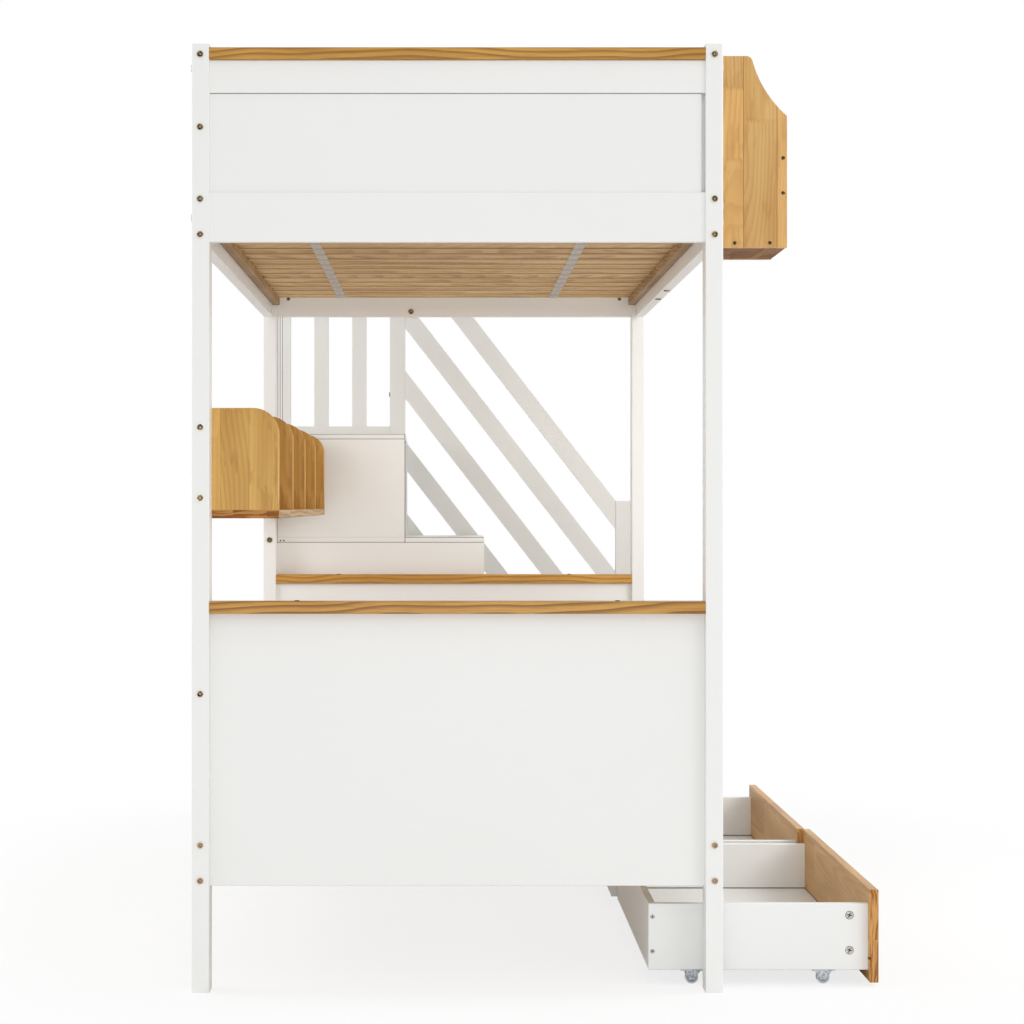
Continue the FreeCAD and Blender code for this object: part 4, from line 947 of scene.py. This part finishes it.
# %% The stairs', the railing's and the end panel's lines
def face_lines(face, boxes):
    """Flat bars on a face, from their left, right, lower and upper edges in millimetres."""
    return [bar((left, face - 0.1, low), (right, face + 0.1, high)) for left, right, low, high in boxes]


# Places across the bed, in millimetres: the left post's edge, then where each step ends.
POST_EDGE, PLATFORM_END = -495, -137
FIRST_STEP_END, SECOND_STEP_END, THIRD_STEP_END = 528, 307, 84
# Lines of painted shade where the stairs' boards meet.
stair_lines = face_lines(stair_face, [
    (POST_EDGE, PLATFORM_END, 1158.3, 1159.5),
    (POST_EDGE, PLATFORM_END, 1171.4, 1172.6),
    (PLATFORM_END - 1, PLATFORM_END + 0.8, 867, 1172.8),
    (PLATFORM_END, THIRD_STEP_END, 881.9, 883.2),
    (POST_EDGE, THIRD_STEP_END, 868.3, 869.5),
    (POST_EDGE - 1, POST_EDGE + 0.8, 867, 950),
    (POST_EDGE, SECOND_STEP_END, 578.6, 579.5),
    (POST_EDGE, FIRST_STEP_END, 288.6, 289.5),
])
make_piece("stair_joint_lines", stair_lines, RAW_BOARD_SHADE, "frame")

# Three upright joints show on the railing's post, as lines of painted shade.
railing_lines = face_lines(railing_low[1], [(x, x + 1.2, 1195, 1880) for x in (-523.4, -516.2, -509.2)])
make_piece("railing_post_lines", railing_lines, RAW_BOARD_SHADE, "frame")

# The near end's panel has a line of painted shade under its top rail, and a painted strip closes
# the gap beside it.
panel_low, panel_high = measure("upper_near_panel")
rail_foot = measure("upper_near_top_rail")[0][2]
panel_stop = bar((panel_high[0] - 2, 22.5, panel_low[2]), (-POST_EDGE, 24, panel_high[2]))
panel_lines = face_lines(panel_low[1], [(POST_EDGE, panel_high[0], rail_foot - 1.2, rail_foot)])
make_piece("end_panel_stop", [panel_stop], PAINT["z"], "frame")
make_piece("end_panel_line", panel_lines, RAW_BOARD_SHADE, "frame")


# %% [markdown]
# ## Studio
# A bed this size is shot against white in soft, even light. One wide lamp stands high to the right of
# the camera, a smaller one behind the camera reaches under the slats, two more stand beside the bed,
# and the pale world does the rest. The white ground comes from what the camera's own rays see, so no
# extra light falls on the bed.

# %% Lamps
BED_MIDDLE = (0.0, 0.0, 1.0)


def area_lamp(name, place, aim, size, power):
    """A square soft box at a place, turned towards a point."""
    light = bpy.data.lights.new(name, "AREA")
    light.shape = "SQUARE"
    light.size = size
    light.energy = power
    lamp = bpy.data.objects.new(name, light)
    bpy.context.scene.collection.objects.link(lamp)
    lamp.location = place
    direction = np.subtract(aim, place)
    yaw = math.atan2(direction[1], direction[0]) - math.pi / 2
    pitch = math.atan2(direction[2], math.hypot(direction[0], direction[1])) + math.pi / 2
    lamp.rotation_euler = (pitch, 0.0, yaw)
    print(name, "lamp of", power, "W")


area_lamp("key", (4.4, -6.4, 3.6), BED_MIDDLE, size=3.0, power=52.0)
area_lamp("front", (-0.2, -7.5, 0.8), BED_MIDDLE, size=1.0, power=42.0)
area_lamp("right side", (2.4, -0.8, 1.8), (-0.3, 0.9, 0.8), size=1.2, power=30.0)
area_lamp("left side", (-2.6, -0.8, 1.8), (0.3, 0.9, 0.8), size=1.2, power=20.0)

# %% A pale world that looks white
AMBIENT = (0.76, 0.76, 0.76, 1.0)
WHITE = (1.0, 1.0, 1.0, 1.0)
world = bpy.data.worlds.new("studio")
bpy.context.scene.world = world
sky = Finish("studio", world)
seen = sky.node("LightPath", output="Is Camera Ray")
for ray in ("Is Glossy Ray", "Is Transmission Ray"):
    seen = seen.larger(sky.node("LightPath", output=ray))
background = sky.node("Background", None, {"Color": sky.mix(seen, AMBIENT, WHITE)})
sky.node("OutputWorld", None, {"Surface": background})
print("world:", world.name)


# %% [markdown]
# ## Floor
# The floor is a wide white sheet. To the light it is plain matt white, and throws some of it back up
# under the bed. To the camera it is mostly white ground. Near the bed a share of the matt surface
# shows, which takes a soft shadow, and further out there is none, so the sheet has no edge.

# %% A sheet that fades out
FLOOR_WIDTH = 30.0
FLOOR_WHITE = (0.92, 0.92, 0.92, 1.0)


def floor_finish():
    """White ground with a share of matt white near the bed, and all matt where no camera looks.

    The share of ground grows from 0.78 to 1 with the root of x squared plus half of y squared.
    """
    finish = Finish("studio_floor")
    x, y, z = finish.place()
    away = (x * x + y * y * 0.5).root()
    fade = 0.78 + 0.22 * away.rise(1.0, 2.0)
    camera_ray = finish.node("LightPath", output="Is Camera Ray")
    matt = finish.node("BsdfDiffuse", None, {"Color": FLOOR_WHITE})
    ground = finish.node("Emission", None, {"Color": WHITE})
    return finish.close(finish.node("MixShader", None, {0: fade * camera_ray, 1: matt, 2: ground}))


half = FLOOR_WIDTH / 2
floor_mesh = bpy.data.meshes.new("floor")
floor_mesh.from_pydata([(-half, -half, 0), (half, -half, 0), (half, half, 0), (-half, half, 0)],
                       [], [(0, 1, 2, 3)])
floor = bpy.data.objects.new("floor", floor_mesh)
bpy.context.scene.collection.objects.link(floor)
floor_mesh.materials.append(floor_finish())
print("floor", FLOOR_WIDTH, "m wide")


# %% [markdown]
# ## Camera
# The photographer stood level with the lower bunk, well back, and looked straight along the bed. The
# picture is a part of a wider one, so the lens is shifted a little to the right.

# %% Stand where the photographer stood
LENS = 86.13
CAMERA_SPOT = (-24.7, -4885.0, 971.0)
LENS_SHIFT = (0.0654, -0.0059)

camera = bpy.data.objects.new("camera", bpy.data.cameras.new("camera"))
bpy.context.scene.collection.objects.link(camera)
camera.location = spot(*CAMERA_SPOT)
camera.rotation_euler = (math.pi / 2, 0.0, 0.0)
camera.data.lens = LENS
camera.data.shift_x, camera.data.shift_y = LENS_SHIFT
camera.data.clip_end = 100.0
bpy.context.scene.camera = camera
bpy.context.scene.view_settings.view_transform = "Standard"
print("camera at", [round(part, 2) for part in camera.location])
